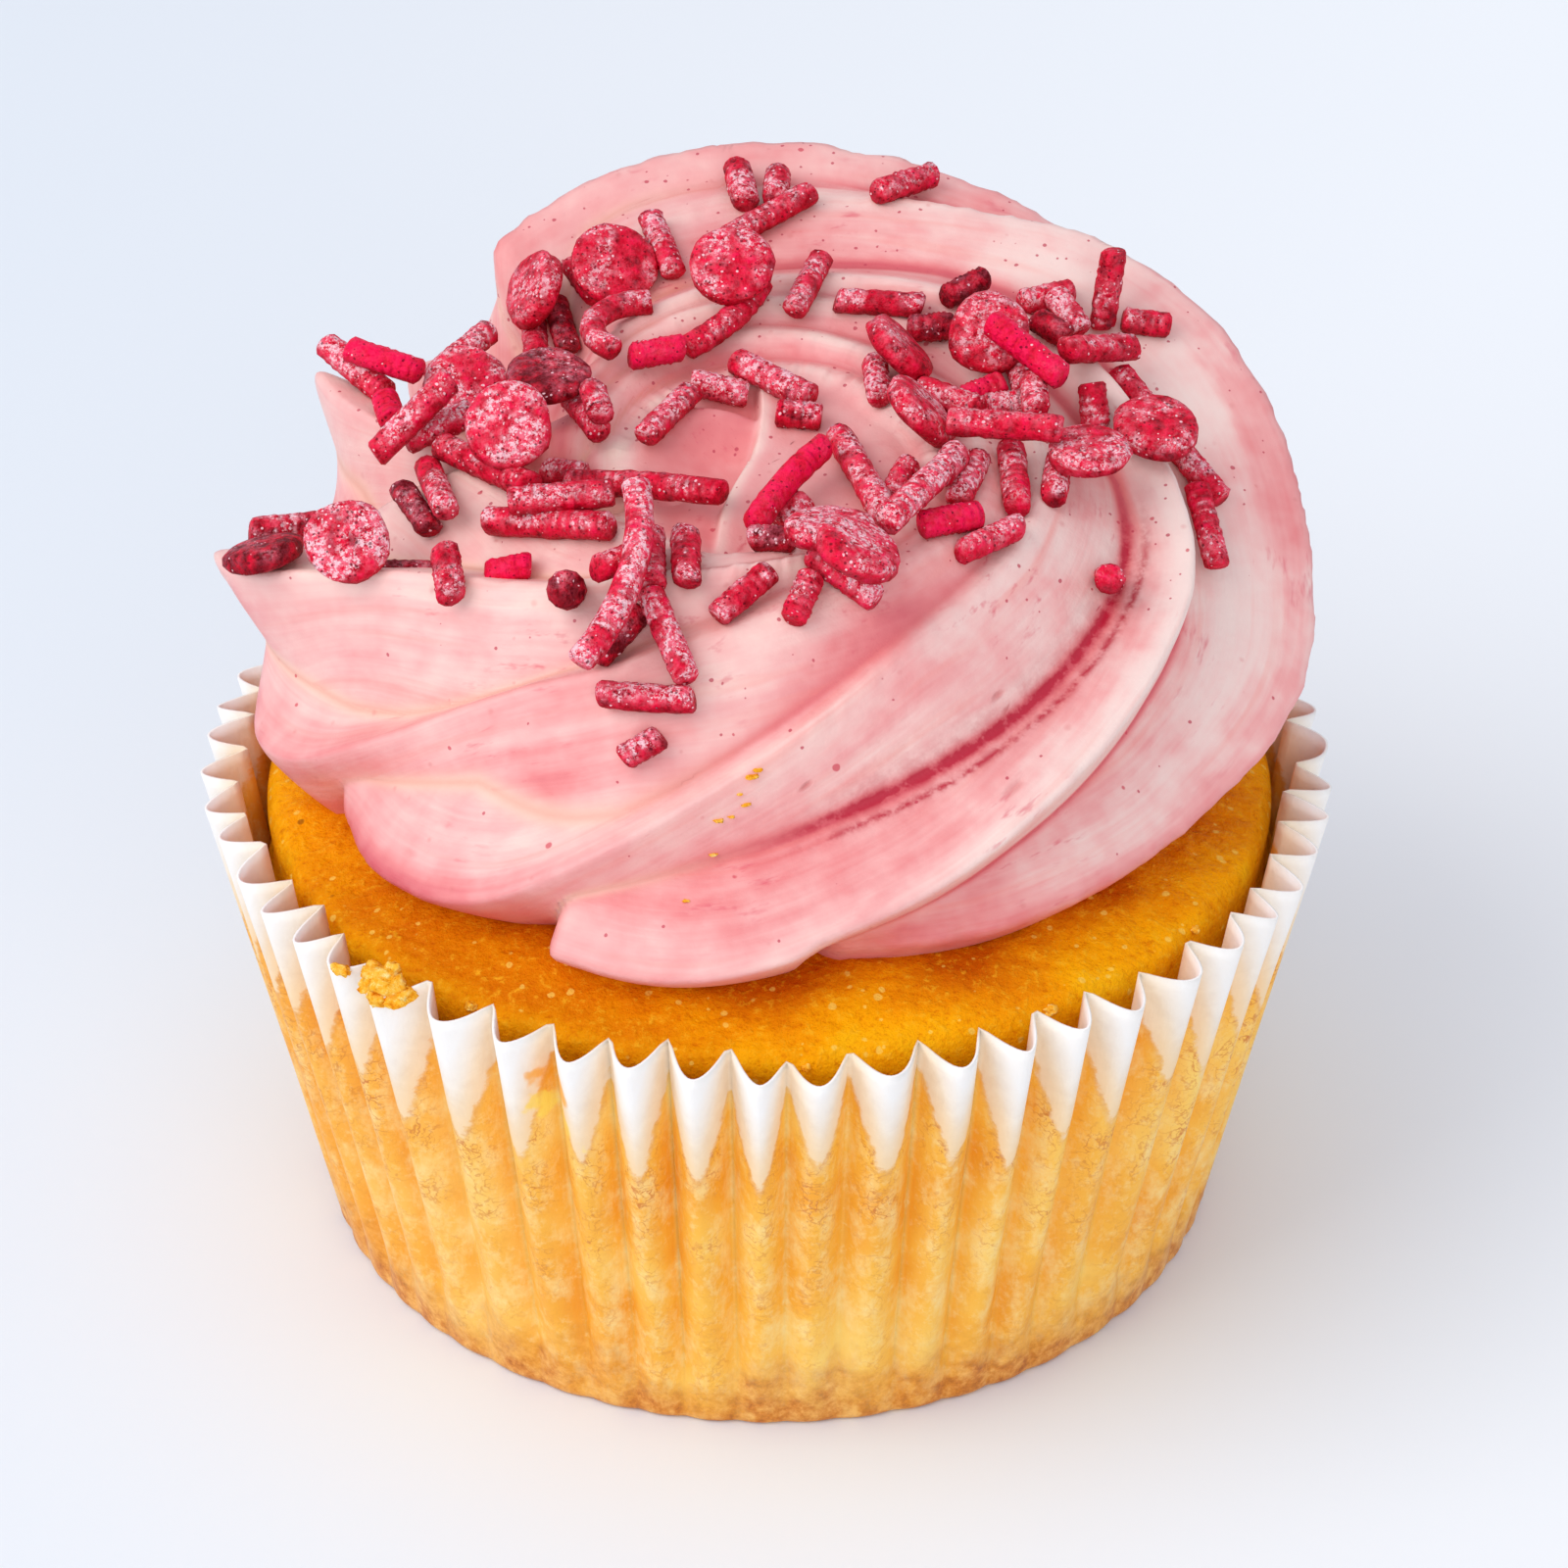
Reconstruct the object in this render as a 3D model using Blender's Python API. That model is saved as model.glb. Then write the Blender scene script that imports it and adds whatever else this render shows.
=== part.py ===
"""A frosted cupcake in its pleated paper case: one sponge, one case and one piped swirl of icing.

The origin is the centre of the base on the surface it stands on, +Z is up and -Y is the front.
Sizes are in millimetres here and become metres in newMesh.
"""

import bmesh
import bpy
import numpy as np

# Paper case
CASE_HEIGHT = 30.75
CASE_RIM_RADIUS = 35.0
CASE_BASE_RADIUS = 27.8
CASE_CORNER_HEIGHT = 1.4
CASE_CORNER_INSET = 0.9
CASE_FLOOR = 0.4
PAPER_RADIAL = 0.5
FLUTES = 55
FLUTE_PHASE_DEG = -87.6
FLUTE_DEPTH_RIM = 2.6
FLUTE_DEPTH_BASE = 0.7
FOLD_LIFT = 0.45
SEGMENTS_PER_FLUTE = 4

# Sponge
GAP = 0.35
SPONGE_EDGE_HEIGHT = 29.0
SPONGE_CROWN_HEIGHT = 32.3
SPONGE_DOME_DROP = 3.0
SPONGE_DOME_RADIUS = 32.0
SPONGE_DOME_POWER = 3.2
SPONGE_EDGE_ROUND = 1.0

# Icing: each arm is a piped ridge, followed from its outer end inward and counterclockwise.
# A station is (azimuth in degrees, radius, height) of the lip of the ridge.
ARMS = {
    "low back": ((95, 27, 34), (120, 29, 37), (150, 29.5, 40), (165, 29.5, 41)),
    "mid back": ((45, 28, 34), (75, 29.5, 39), (105, 30.5, 45), (140, 31, 47.5)),
    "top back": (
        (5, 28, 34), (30, 31, 43), (50, 31.5, 50.5), (70, 31, 55.2), (90, 31, 57),
        (108, 31, 56), (120, 31, 54.3), (127, 30.5, 53.3),
    ),
    "right": (
        (-82, 24.5, 32.6), (-55, 26.4, 32.8), (-25, 28.8, 34), (-5, 32.7, 38), (8, 33.2, 43),
        (28, 32.2, 51), (45, 29.5, 54.8), (62, 27, 56), (80, 25.4, 56), (98, 24.8, 55.4),
        (115, 24.5, 54),
    ),
    "front": (
        (-118, 28.4, 32.7), (-100, 29, 33), (-75, 26.8, 36), (-45, 25.6, 40.5), (-25, 25.7, 44),
        (-10, 25.9, 46.6), (8, 24, 50.2), (24, 22, 53), (50, 19, 54.6), (75, 17, 55),
        (105, 16, 54.6), (130, 15.5, 53.6),
    ),
    "front left": (
        (-160, 27.5, 33), (-143, 29, 33), (-128, 28.6, 34.5), (-112, 25.5, 39), (-97, 21.6, 42.2),
        (-77, 18.2, 45.2), (-47, 16.2, 48.2), (-20, 16.4, 49.8), (5, 16.4, 51), (40, 15.8, 53.2),
        (70, 15, 54.2), (95, 14.4, 54.4), (120, 14, 53.8), (145, 13.6, 52.6),
    ),
    "left": (
        (-181, 31, 35.5), (-172, 31, 36), (-155, 26.5, 39.2), (-137, 22, 44), (-115, 17.8, 47.2),
        (-87, 14.4, 49.5), (-52, 13.2, 50.6), (-21, 13.4, 51), (20, 12.6, 52), (56, 11.6, 53.4),
        (86, 11.8, 53.6), (126, 11.8, 53), (163, 11, 52),
    ),
    "left point": (
        (-186, 34, 44.6), (-178, 32.5, 44.9), (-166, 25.5, 47.2), (-140, 17, 49.5),
        (-108, 12.8, 51), (-79, 11, 51.2), (-40, 10.3, 51.3), (-5, 10, 52), (40, 9, 52.6),
        (84, 9, 52.6), (120, 9, 52.2), (160, 9.4, 51.2), (185, 9, 50.4),
    ),
    "back left": (
        (-208, 32, 49.6), (-200, 27.5, 50), (-190, 20, 50.4), (-176, 15.2, 50.4),
        (-147, 11.2, 50.5), (-107, 9.7, 50.8), (-78, 8.4, 51),
    ),
}
# How each ridge falls away from its lip, by azimuth:
# (azimuth, inner slope, inner depth, outer slope, outer depth, lip radius).
FALLS = {
    "low back": ((0, 0.6, 2.5, 1, 3, 0.8),),
    "mid back": ((0, 0.6, 3, 1, 3.5, 0.8),),
    "top back": ((0, 0.8, 5, 1, 3.5, 0.4),),
    "right": ((-80, 0.6, 5, 1.3, 4, 0.35), (30, 0.8, 6, 1.3, 4, 0.35), (115, 0.6, 4, 0.9, 2, 0.8)),
    "front": ((-118, 0.7, 6, 1.5, 5, 0.3), (0, 0.7, 5, 1.9, 5, 0.3), (60, 0.6, 3, 0.9, 3, 0.5)),
    "front left": (
        (-160, 0.4, 4, 1.5, 5, 0.4), (-110, 0.5, 3, 2, 8, 0.3), (-80, 0.35, 1.2, 2.4, 8, 0.3),
        (0, 0.5, 2, 1.6, 5, 0.45), (60, 0.6, 2.5, 1.1, 3, 0.4),
    ),
    "left": (
        (-180, 0.7, 5, 1.2, 5, 0.7), (-140, 0.5, 3, 1.2, 5, 0.7), (-100, 0.25, 1.2, 0.5, 2, 1.4),
        (-20, 0.5, 2, 0.8, 2, 0.7), (60, 0.6, 2.5, 1, 3, 0.4),
    ),
    "left point": (
        (-186, 1.2, 6, 0.8, 5, 0.35), (-150, 1, 4, 0.5, 3, 0.3), (-80, 0.9, 2, 0.45, 1.5, 0.4),
        (60, 0.6, 2.5, 1, 3, 0.4),
    ),
    "back left": (
        (-208, 1.2, 6, 1.8, 6, 0.4), (-185, 0.8, 4, 1, 5, 0.5), (-150, 0.6, 2.5, 0.5, 3, 0.6),
        (-80, 0.5, 1.6, 0.5, 2, 0.6),
    ),
}
# Degrees over which a ridge rises at its outer end and sinks at its inner end.
ENDS = {"back left": (2, 16), "left point": (4, 16), "top back": (6, 4), "mid back": (6, 8)}
# Hollow between the cut ends at the back left: (azimuth, radius, depth, width).
HOLLOW = (137, 24, 5, 5.5)
ICING_CENTRE_HEIGHT = 49.6
ICING_FOOT_RADIUS = 27.3
VALLEY_LIMIT = 5.0
RIDGE_SPREAD = 4.5
CREASE_SOFTNESS = 0.22
RIM_CLEARANCE = 1.9
ARC_SCALE = 20.0
ICING_TURNS = 180
ICING_ROWS = 72
ICING_TRIANGLES = 4300


def smoothStep(low, high, value):
    part = np.clip((value - low) / (high - low), 0, 1)
    return part * part * (3 - 2 * part)


def newMesh(name, points, faces, color, roughness):
    mesh = bpy.data.meshes.new(name)
    mesh.from_pydata((np.asarray(points) * 0.001).tolist(), [], faces)
    body = bmesh.new()
    body.from_mesh(mesh)
    bmesh.ops.recalc_face_normals(body, faces=body.faces)
    body.to_mesh(mesh)
    body.free()
    material = bpy.data.materials.new(name)
    material.use_nodes = True
    shader = material.node_tree.nodes["Principled BSDF"]
    shader.inputs["Base Color"].default_value = (*color, 1)
    shader.inputs["Roughness"].default_value = roughness
    shader.inputs["Metallic"].default_value = 0
    mesh.materials.append(material)
    solid = bpy.data.objects.new(name, mesh)
    bpy.context.scene.collection.objects.link(solid)
    return solid


def ringFaces(rings, segments):
    """Quads between rings of points laid out one ring after another."""
    faces = []
    for ring in range(rings - 1):
        for step in range(segments):
            after = (step + 1) % segments
            low = ring * segments
            high = low + segments
            faces.append((low + step, low + after, high + after, high + step))
    return faces


def lathe(rings, azimuths, bottom, top):
    """A closed body from rings of (radius, height), with one middle point at each end."""
    points = []
    for radius, height in rings:
        x = radius * np.cos(azimuths)
        y = radius * np.sin(azimuths)
        points.append(np.stack([x, y, height + 0 * x], axis=1))
    count = len(azimuths)
    faces = ringFaces(len(rings), count)
    last = (len(rings) - 1) * count
    first = len(rings) * count
    for step in range(count):
        after = (step + 1) % count
        faces.append((first, after, step))
        faces.append((first + 1, last + step, last + after))
    points.append(np.array([[0, 0, bottom], [0, 0, top]]))
    return np.concatenate(points), faces


def pleat(azimuths):
    """1 on an inner fold, which is sharp, and 0 on an outer one, which is round."""
    turn = FLUTES * (azimuths - np.radians(FLUTE_PHASE_DEG)) / 2
    return 1 - np.abs(np.sin(turn))


def caseRadius(height, fold):
    """Outer radius of the paper at this height."""
    share = height / CASE_HEIGHT
    radius = CASE_BASE_RADIUS + (CASE_RIM_RADIUS - CASE_BASE_RADIUS) * share
    depth = FLUTE_DEPTH_BASE + (FLUTE_DEPTH_RIM - FLUTE_DEPTH_BASE) * share
    return radius - depth * fold


def makeCase():
    count = FLUTES * SEGMENTS_PER_FLUTE
    azimuths = np.radians(FLUTE_PHASE_DEG) + np.arange(count) * 2 * np.pi / count
    fold = pleat(azimuths)
    levels = (CASE_CORNER_HEIGHT, CASE_HEIGHT * 0.45, CASE_HEIGHT)
    rings = [(caseRadius(0, fold) - CASE_CORNER_INSET, 0)]
    for level in levels:
        lift = FOLD_LIFT * fold * (level == CASE_HEIGHT)
        rings.append((caseRadius(level, fold), level + lift))
    for level in reversed(levels):
        lift = FOLD_LIFT * fold * (level == CASE_HEIGHT)
        rings.append((caseRadius(level, fold) - PAPER_RADIAL, level + lift))
    rings.append((caseRadius(0, fold) - CASE_CORNER_INSET - PAPER_RADIAL, CASE_FLOOR))
    points, faces = lathe(rings, azimuths, 0, CASE_FLOOR)
    newMesh("paper_case", points, faces, (0.87, 0.62, 0.27), 0.6)


def spongeTop(radius):
    share = np.clip(radius / SPONGE_DOME_RADIUS, 0, 1.2)
    return SPONGE_CROWN_HEIGHT - SPONGE_DOME_DROP * share**SPONGE_DOME_POWER


def makeSponge():
    count = FLUTES * 2
    azimuths = np.radians(FLUTE_PHASE_DEG) + np.arange(count) * 2 * np.pi / count
    inside = PAPER_RADIAL + GAP
    bottom = CASE_FLOOR + GAP
    fold = pleat(azimuths)
    side = 0.35 + 0.65 * fold
    corner = caseRadius(CASE_CORNER_HEIGHT, side) - inside
    edge = caseRadius(SPONGE_EDGE_HEIGHT, 1) - inside
    rings = [(corner - CASE_CORNER_INSET, bottom), (corner, CASE_CORNER_HEIGHT + GAP)]
    rings.append((caseRadius(CASE_HEIGHT * 0.45, side) - inside, CASE_HEIGHT * 0.45))
    rings.append((edge + 0 * fold, SPONGE_EDGE_HEIGHT - SPONGE_EDGE_ROUND))
    for radius in (edge - 0.5 * SPONGE_EDGE_ROUND, 27, 20, 10):
        rings.append((radius + 0 * fold, spongeTop(radius)))
    points, faces = lathe(rings, azimuths, bottom, SPONGE_CROWN_HEIGHT)
    newMesh("sponge", points, faces, (0.8, 0.36, 0.03), 0.7)


def core(azimuth):
    """Radius and height of the ring inside the icing that the ridges grow out from."""
    back = np.sin(azimuth)
    return 13 + 3.5 * back, 33.5 + 6 * back


def toRay(azimuth, radius, height):
    """A point in the half plane as (distance round the icing, distance out from the core)."""
    coreRadius, coreHeight = core(azimuth)
    out = radius - coreRadius
    up = height - coreHeight
    around = ARC_SCALE * np.arctan2(up, np.maximum(out, 1e-9))
    beyond = out > 0
    place = np.where(beyond, around, ARC_SCALE * np.pi / 2 - out)
    return place, np.where(beyond, np.hypot(out, up), up)


def fromRay(azimuth, place, reach):
    coreRadius, coreHeight = core(azimuth)
    top = ARC_SCALE * np.pi / 2
    angle = place / ARC_SCALE
    beyond = place < top
    radius = np.where(beyond, coreRadius + reach * np.cos(angle), coreRadius - (place - top))
    return radius, coreHeight + np.where(beyond, reach * np.sin(angle), reach)


def followArm(stations, degrees):
    """Radius and height of a lip at these azimuths, as a smooth cubic through its stations."""
    stations = np.array(stations, dtype=float)
    at = stations[:, 0]
    value = stations[:, 1:]
    step = np.diff(at)[:, None]
    rise = np.diff(value, axis=0) / step
    slope = np.zeros_like(value)
    slope[1:-1] = (rise[:-1] * step[1:] + rise[1:] * step[:-1]) / (step[:-1] + step[1:])
    slope[0] = rise[0]
    slope[-1] = rise[-1]
    where = np.clip(degrees, at[0] - 12, at[-1] + 12)
    index = np.clip(np.searchsorted(at, where) - 1, 0, len(at) - 2)
    length = step[index]
    t = np.clip((where - at[index])[:, None] / length, 0, 1)
    early = (2 * t**3 - 3 * t**2 + 1) * value[index] + (t**3 - 2 * t**2 + t) * length * slope[index]
    late = (3 * t**2 - 2 * t**3) * value[index + 1] + (t**3 - t**2) * length * slope[index + 1]
    before = np.minimum(where - at[0], 0)[:, None] * slope[0]
    after = np.maximum(where - at[-1], 0)[:, None] * slope[-1]
    result = early + late + before + after
    return result[:, 0], result[:, 1]


def ridgePasses(azimuths):
    """Every time an arm goes by: (place, reach, presence, falls), each along the azimuths."""
    found = []
    degrees = np.degrees(azimuths)
    for name, stations in ARMS.items():
        first = stations[0][0]
        last = stations[-1][0]
        falls = np.array(FALLS[name], dtype=float)
        rise, sink = ENDS.get(name, (5, 16))
        for turn in (-1, 0, 1):
            where = degrees + 360 * turn
            presence = smoothStep(first - rise, first + 2, where) * smoothStep(-last - sink, 2 - last, -where)
            if presence.max() <= 0:
                continue
            radius, height = followArm(stations, where)
            place, reach = toRay(azimuths, np.maximum(radius, 0.5), height)
            fall = [np.interp(where, falls[:, 0], column)[:, None] for column in falls.T[1:]]
            found.append((place[:, None], reach[:, None], presence[:, None], fall))
    return found


def meanReach(place, anchors):
    """A smooth surface through the lips, for the ridges to stand out from."""
    total = 0
    weight = 0
    for anchor, reach, presence in anchors:
        away = (place - anchor) / RIDGE_SPREAD
        pull = (presence + 1e-9) * (np.exp(-0.5 * away**2) + 1e-4 / (1 + away**2))
        total = total + pull * reach
        weight = weight + pull
    return total / weight


def icingReach(azimuths, place):
    """Distance of the icing's surface from its core."""
    passes = ridgePasses(azimuths)
    flat = np.zeros((len(azimuths), 1))
    column = azimuths[:, None]
    foot = toRay(column, ICING_FOOT_RADIUS + flat, SPONGE_CROWN_HEIGHT + flat)
    middle = toRay(column, 0.5 + flat, ICING_CENTRE_HEIGHT + 0.4 + flat)
    anchors = [(spot, reach, presence) for spot, reach, presence, fall in passes]
    anchors += [(*foot, 0.7 + flat), (*middle, 0.5 + flat)]
    heights = [np.full(place.shape, -VALLEY_LIMIT)]
    for spot, reach, presence, (innerSlope, innerDepth, outerSlope, outerDepth, lip) in passes:
        stand = np.minimum(reach - meanReach(spot, anchors), 4)
        away = (place - spot) * np.clip(reach / ARC_SCALE, 0.6, 1.3)
        soft = np.sqrt(away**2 + lip**2) - lip
        inner = innerSlope * soft / (1 + innerSlope * soft / (2 * innerDepth))
        outer = outerSlope * soft / (1 + outerSlope * soft / (3 * outerDepth))
        missing = (1 - presence) * 5 + np.where(presence > 0, 0, 1000)
        heights.append(stand - np.where(away > 0, inner, outer) - missing)
    heights = np.stack(heights)
    highest = heights.max(axis=0)
    blend = np.exp((heights - highest) / CREASE_SOFTNESS).sum(axis=0)
    return meanReach(place, anchors) + highest + CREASE_SOFTNESS * np.log(blend)


def icingPoints(azimuths, place):
    radius, height = fromRay(azimuths[:, None], place, icingReach(azimuths, place))
    turn, distance, depth, width = HOLLOW
    x = radius * np.cos(azimuths[:, None]) - distance * np.cos(np.radians(turn))
    y = radius * np.sin(azimuths[:, None]) - distance * np.sin(np.radians(turn))
    high = smoothStep(40, 48, height)
    height = height - depth * high * np.exp(-(x**2 + y**2) / width**2)
    middle = smoothStep(-4, -0.3, -radius)
    return radius, height + (ICING_CENTRE_HEIGHT - height) * middle


def icingFloor(radius):
    return spongeTop(radius) + GAP + RIM_CLEARANCE * smoothStep(29, 31.5, radius)


def contactPlaces(azimuths, lowest, highest):
    """Where the outer surface of the icing meets the sponge, at each azimuth."""
    share = np.linspace(0, 1, 400)
    place = lowest[:, None] + (highest - lowest)[:, None] * share
    radius, height = icingPoints(azimuths, place)
    over = height - icingFloor(radius)
    below = (over[:, :200] < 0).nonzero()
    last = np.zeros(len(azimuths), dtype=int)
    np.maximum.at(last, below[0], below[1])
    row = np.arange(len(azimuths))
    low = over[row, last]
    part = np.clip(low / (low - over[row, last + 1]), 0, 1)
    return place[row, last] + part * (place[row, last + 1] - place[row, last])


def makeIcing():
    azimuths = np.linspace(-np.pi, np.pi, ICING_TURNS, endpoint=False)
    lowest = toRay(azimuths, 27 + 0 * azimuths, 28 + 0 * azimuths)[0] - 2
    highest = ARC_SCALE * np.pi / 2 + core(azimuths)[0]
    start = contactPlaces(azimuths, lowest, highest)
    share = np.linspace(0, 1, ICING_ROWS, endpoint=False)
    place = start[:, None] + (highest - start)[:, None] * share
    radius, height = icingPoints(azimuths, place)
    height = np.maximum(height, icingFloor(radius))
    under = [(radius[:, 0] * share, icingFloor(radius[:, 0] * share)) for share in (0.25, 0.5, 0.75)]
    rings = under + list(zip(radius.T, height.T))
    points, faces = lathe(rings, azimuths, icingFloor(0), ICING_CENTRE_HEIGHT)
    icing = newMesh("icing", points, faces, (0.86, 0.45, 0.45), 0.45)
    fewer = icing.modifiers.new("fewer triangles", "DECIMATE")
    fewer.ratio = ICING_TRIANGLES / (2 * ICING_TURNS * (len(rings) - 1) + 2 * ICING_TURNS)


for old in list(bpy.data.objects):
    bpy.data.objects.remove(old)
makeCase()
makeSponge()
makeIcing()
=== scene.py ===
import math
import random

import bmesh
import bpy
import numpy as np
from mathutils import Matrix, Vector, noise
from mathutils.bvhtree import BVHTree


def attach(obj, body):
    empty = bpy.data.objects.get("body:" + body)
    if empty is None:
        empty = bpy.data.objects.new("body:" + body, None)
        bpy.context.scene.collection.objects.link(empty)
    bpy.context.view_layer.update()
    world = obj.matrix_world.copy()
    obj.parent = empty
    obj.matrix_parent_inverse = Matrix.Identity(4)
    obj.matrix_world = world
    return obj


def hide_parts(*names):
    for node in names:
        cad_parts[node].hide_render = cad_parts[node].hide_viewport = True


# A frosted cupcake: pleated paper case, sponge, one piped swirl of buttercream and its sprinkles.
# Shapes are worked out in millimetres and turned into metres when they go into a mesh.

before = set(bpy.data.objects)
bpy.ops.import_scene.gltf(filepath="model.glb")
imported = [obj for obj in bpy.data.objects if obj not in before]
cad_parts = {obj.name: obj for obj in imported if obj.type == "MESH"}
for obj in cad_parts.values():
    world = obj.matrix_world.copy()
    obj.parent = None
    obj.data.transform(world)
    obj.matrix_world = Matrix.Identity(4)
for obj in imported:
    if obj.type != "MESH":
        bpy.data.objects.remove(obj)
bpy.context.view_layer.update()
print("frame loaded:", ", ".join(sorted(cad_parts)))

millimetre = 0.001
mergeDistance = 1e-6
scene = bpy.context.scene


def smoothStep(low, high, value):
    part = np.clip((value - low) / (high - low), 0, 1)
    return part * part * (3 - 2 * part)


def bell(value, width):
    return np.exp(-((value / width) ** 2))


def paint(red, green, blue):  # everyday 0-255 colour to a linear one
    values = np.array((red, green, blue)) / 255
    linear = np.where(values <= 0.04045, values / 12.92, ((values + 0.055) / 1.055) ** 2.4)
    return (*[float(value) for value in linear], 1)


def lumps(points, size, seed=0, octaves=3):  # smooth noise of about -1 to 1 at points given in millimetres
    offset = Vector((seed * 17.3, seed * 5.1, seed * 9.7))
    return np.array([
        noise.fractal(Vector(point) / size + offset, 0.9, 2.1, octaves) for point in points.tolist()
    ])


def placeMesh(body, name, material):  # bmesh to an object in the scene
    mesh = bpy.data.meshes.new(name)
    body.to_mesh(mesh)
    body.free()
    mesh.materials.append(material)
    piece = bpy.data.objects.new(name, mesh)
    scene.collection.objects.link(piece)
    return piece


def keepMesh(body, name, material):  # bmesh to a finished piece of the cupcake, shaded smooth
    piece = placeMesh(body, name, material)
    piece.data.polygons.foreach_set("use_smooth", [True] * len(piece.data.polygons))
    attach(piece, "root")
    return piece


def keepValues(mesh, name, values):  # one number or vector for every point of a mesh, for its material to read
    vectors = values.ndim > 1
    layer = mesh.attributes.new(name, "FLOAT_VECTOR" if vectors else "FLOAT", "POINT")
    layer.data.foreach_set("vector" if vectors else "value", values.astype(np.float32).ravel())


def wrapSheet(points, values):
    # A grid is wrapped right round: its columns become turns, and every point goes to points[turn, row].
    # values holds arrays of [turn, row] or [turn, row, 3] that are kept as point attributes.
    turns, rows = points.shape[0], points.shape[1] - 1
    body = bmesh.new()
    bmesh.ops.create_grid(body, x_segments=turns, y_segments=rows, size=1)
    mesh = bpy.data.meshes.new("sheet")
    body.to_mesh(mesh)
    body.free()
    flat = np.empty(len(mesh.vertices) * 3, np.float32)
    mesh.vertices.foreach_get("co", flat)
    flat = flat.reshape(-1, 3)
    turn = np.round((flat[:, 0] + 1) / 2 * turns).astype(int) % turns
    row = np.round((flat[:, 1] + 1) / 2 * rows).astype(int)
    mesh.vertices.foreach_set("co", (points[turn, row] * millimetre).astype(np.float32).ravel())
    for name, value in values.items():
        keepValues(mesh, name, value[turn, row])
    body = bmesh.new()
    body.from_mesh(mesh)
    bpy.data.meshes.remove(mesh)
    bmesh.ops.remove_doubles(body, verts=body.verts, dist=mergeDistance)
    bmesh.ops.recalc_face_normals(body, faces=body.faces)
    return body


def ringPoints(azimuths, radius, height):  # [turn, row] radius and height to [turn, row, 3]
    column = azimuths[:, None]
    return np.stack([radius * np.cos(column), radius * np.sin(column), height + 0 * column], axis=2)


class Shader:  # one material's or group's node tree, with short names for the nodes used here
    def __init__(self, tree):
        self.tree = tree

    def node(self, kind, inputs=None, output=0, **settings):
        made = self.tree.nodes.new("ShaderNode" + kind)
        for name, value in settings.items():
            setattr(made, name, value)
        for name, value in (inputs or {}).items():
            if isinstance(value, bpy.types.NodeSocket):
                self.feed(value, made.inputs[name])
            else:
                made.inputs[name].default_value = value
        return made.outputs[output]

    def feed(self, value, socket):
        self.tree.links.new(value, socket)

    def maths(self, operation, first, second=0.5, clamp=False):
        return self.node("Math", {0: first, 1: second}, operation=operation, use_clamp=clamp)

    def plus(self, first, second, clamp=False):
        return self.maths("ADD", first, second, clamp)

    def times(self, first, second, clamp=False):
        return self.maths("MULTIPLY", first, second, clamp)

    def remap(self, value, low, high, toLow=0.0, toHigh=1.0, smooth=False):
        kind = "SMOOTHSTEP" if smooth else "LINEAR"
        return self.node("MapRange", {
            "Value": value, "From Min": low, "From Max": high, "To Min": toLow, "To Max": toHigh,
        }, interpolation_type=kind)

    def sway(self, noise, size):  # a noise made to go as far as size to either side of nothing
        return self.remap(noise, 0.3, 0.7, -size, size)

    def mix(self, mask, first, second):
        return self.node("Mix", {0: mask, 6: first, 7: second}, output=2, data_type="RGBA")

    def tint(self, color, tone, mask, amount=None, clamp=False):  # another colour where the mask is
        if amount is not None:
            mask = self.times(mask, amount, clamp)
        return self.mix(mask, color, paint(*tone))

    def axis(self, vector, number):
        return self.node("SeparateXYZ", {0: vector}, output=number)

    def vectors(self, operation, first, second, output=0):
        return self.node("VectorMath", {0: first, 1: second}, output, operation=operation)

    def length(self, vector):
        return self.node("VectorMath", {0: vector}, output=1, operation="LENGTH")

    def stretch(self, vector, scale, shift=(0, 0, 0)):
        return self.node("Mapping", {"Vector": vector, "Scale": scale, "Location": shift})

    def noise(self, vector, scale, detail=2.0, rough=0.5, twist=0.0, color=False):
        return self.node("TexNoise", {
            "Vector": vector, "Scale": scale, "Detail": detail, "Roughness": rough, "Distortion": twist,
        }, output=1 if color else 0)

    def ramp(self, value, *stops):
        made = self.node("ValToRGB", {0: value}).node
        points = made.color_ramp.elements
        points.remove(points[1])
        points[0].position = stops[0][0]
        points[0].color = paint(*stops[0][1])
        for place, color in stops[1:]:
            points.new(place).color = paint(*color)
        return made.outputs[0]

    def bump(self, height, distance, strength=1.0):
        return self.node("Bump", {"Height": height, "Distance": distance, "Strength": strength})

    def attribute(self, name, output="Fac"):
        return self.node("Attribute", output=output, attribute_name=name)

    def specks(self, vector, scale, share, size, output="Mask"):
        return self.node("Group", {
            "Vector": vector, "Scale": scale, "Share": share, "Size": size,
        }, output, node_tree=speckGroup)


def newMaterial(name, **fixed):  # a Principled material; fixed holds its plain settings, underscores for spaces
    material = bpy.data.materials.new(name)
    material.use_nodes = True
    shader = Shader(material.node_tree)
    surface = material.node_tree.nodes["Principled BSDF"].inputs
    for socket, value in fixed.items():
        surface[socket.replace("_", " ")].default_value = value
    place = shader.node("TexCoord", output="Object")
    return material, shader, surface, place


def newGroup(name, inputs, outputs):
    tree = bpy.data.node_groups.new(name, "ShaderNodeTree")
    for label, kind, start in inputs:
        socket = tree.interface.new_socket(label, in_out="INPUT", socket_type=kind)
        if start is not None:
            socket.default_value = start
    for label, kind in outputs:
        tree.interface.new_socket(label, in_out="OUTPUT", socket_type=kind)
    entry = tree.nodes.new("NodeGroupInput")
    leave = tree.nodes.new("NodeGroupOutput")
    return tree, Shader(tree), entry.outputs, leave.inputs


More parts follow.
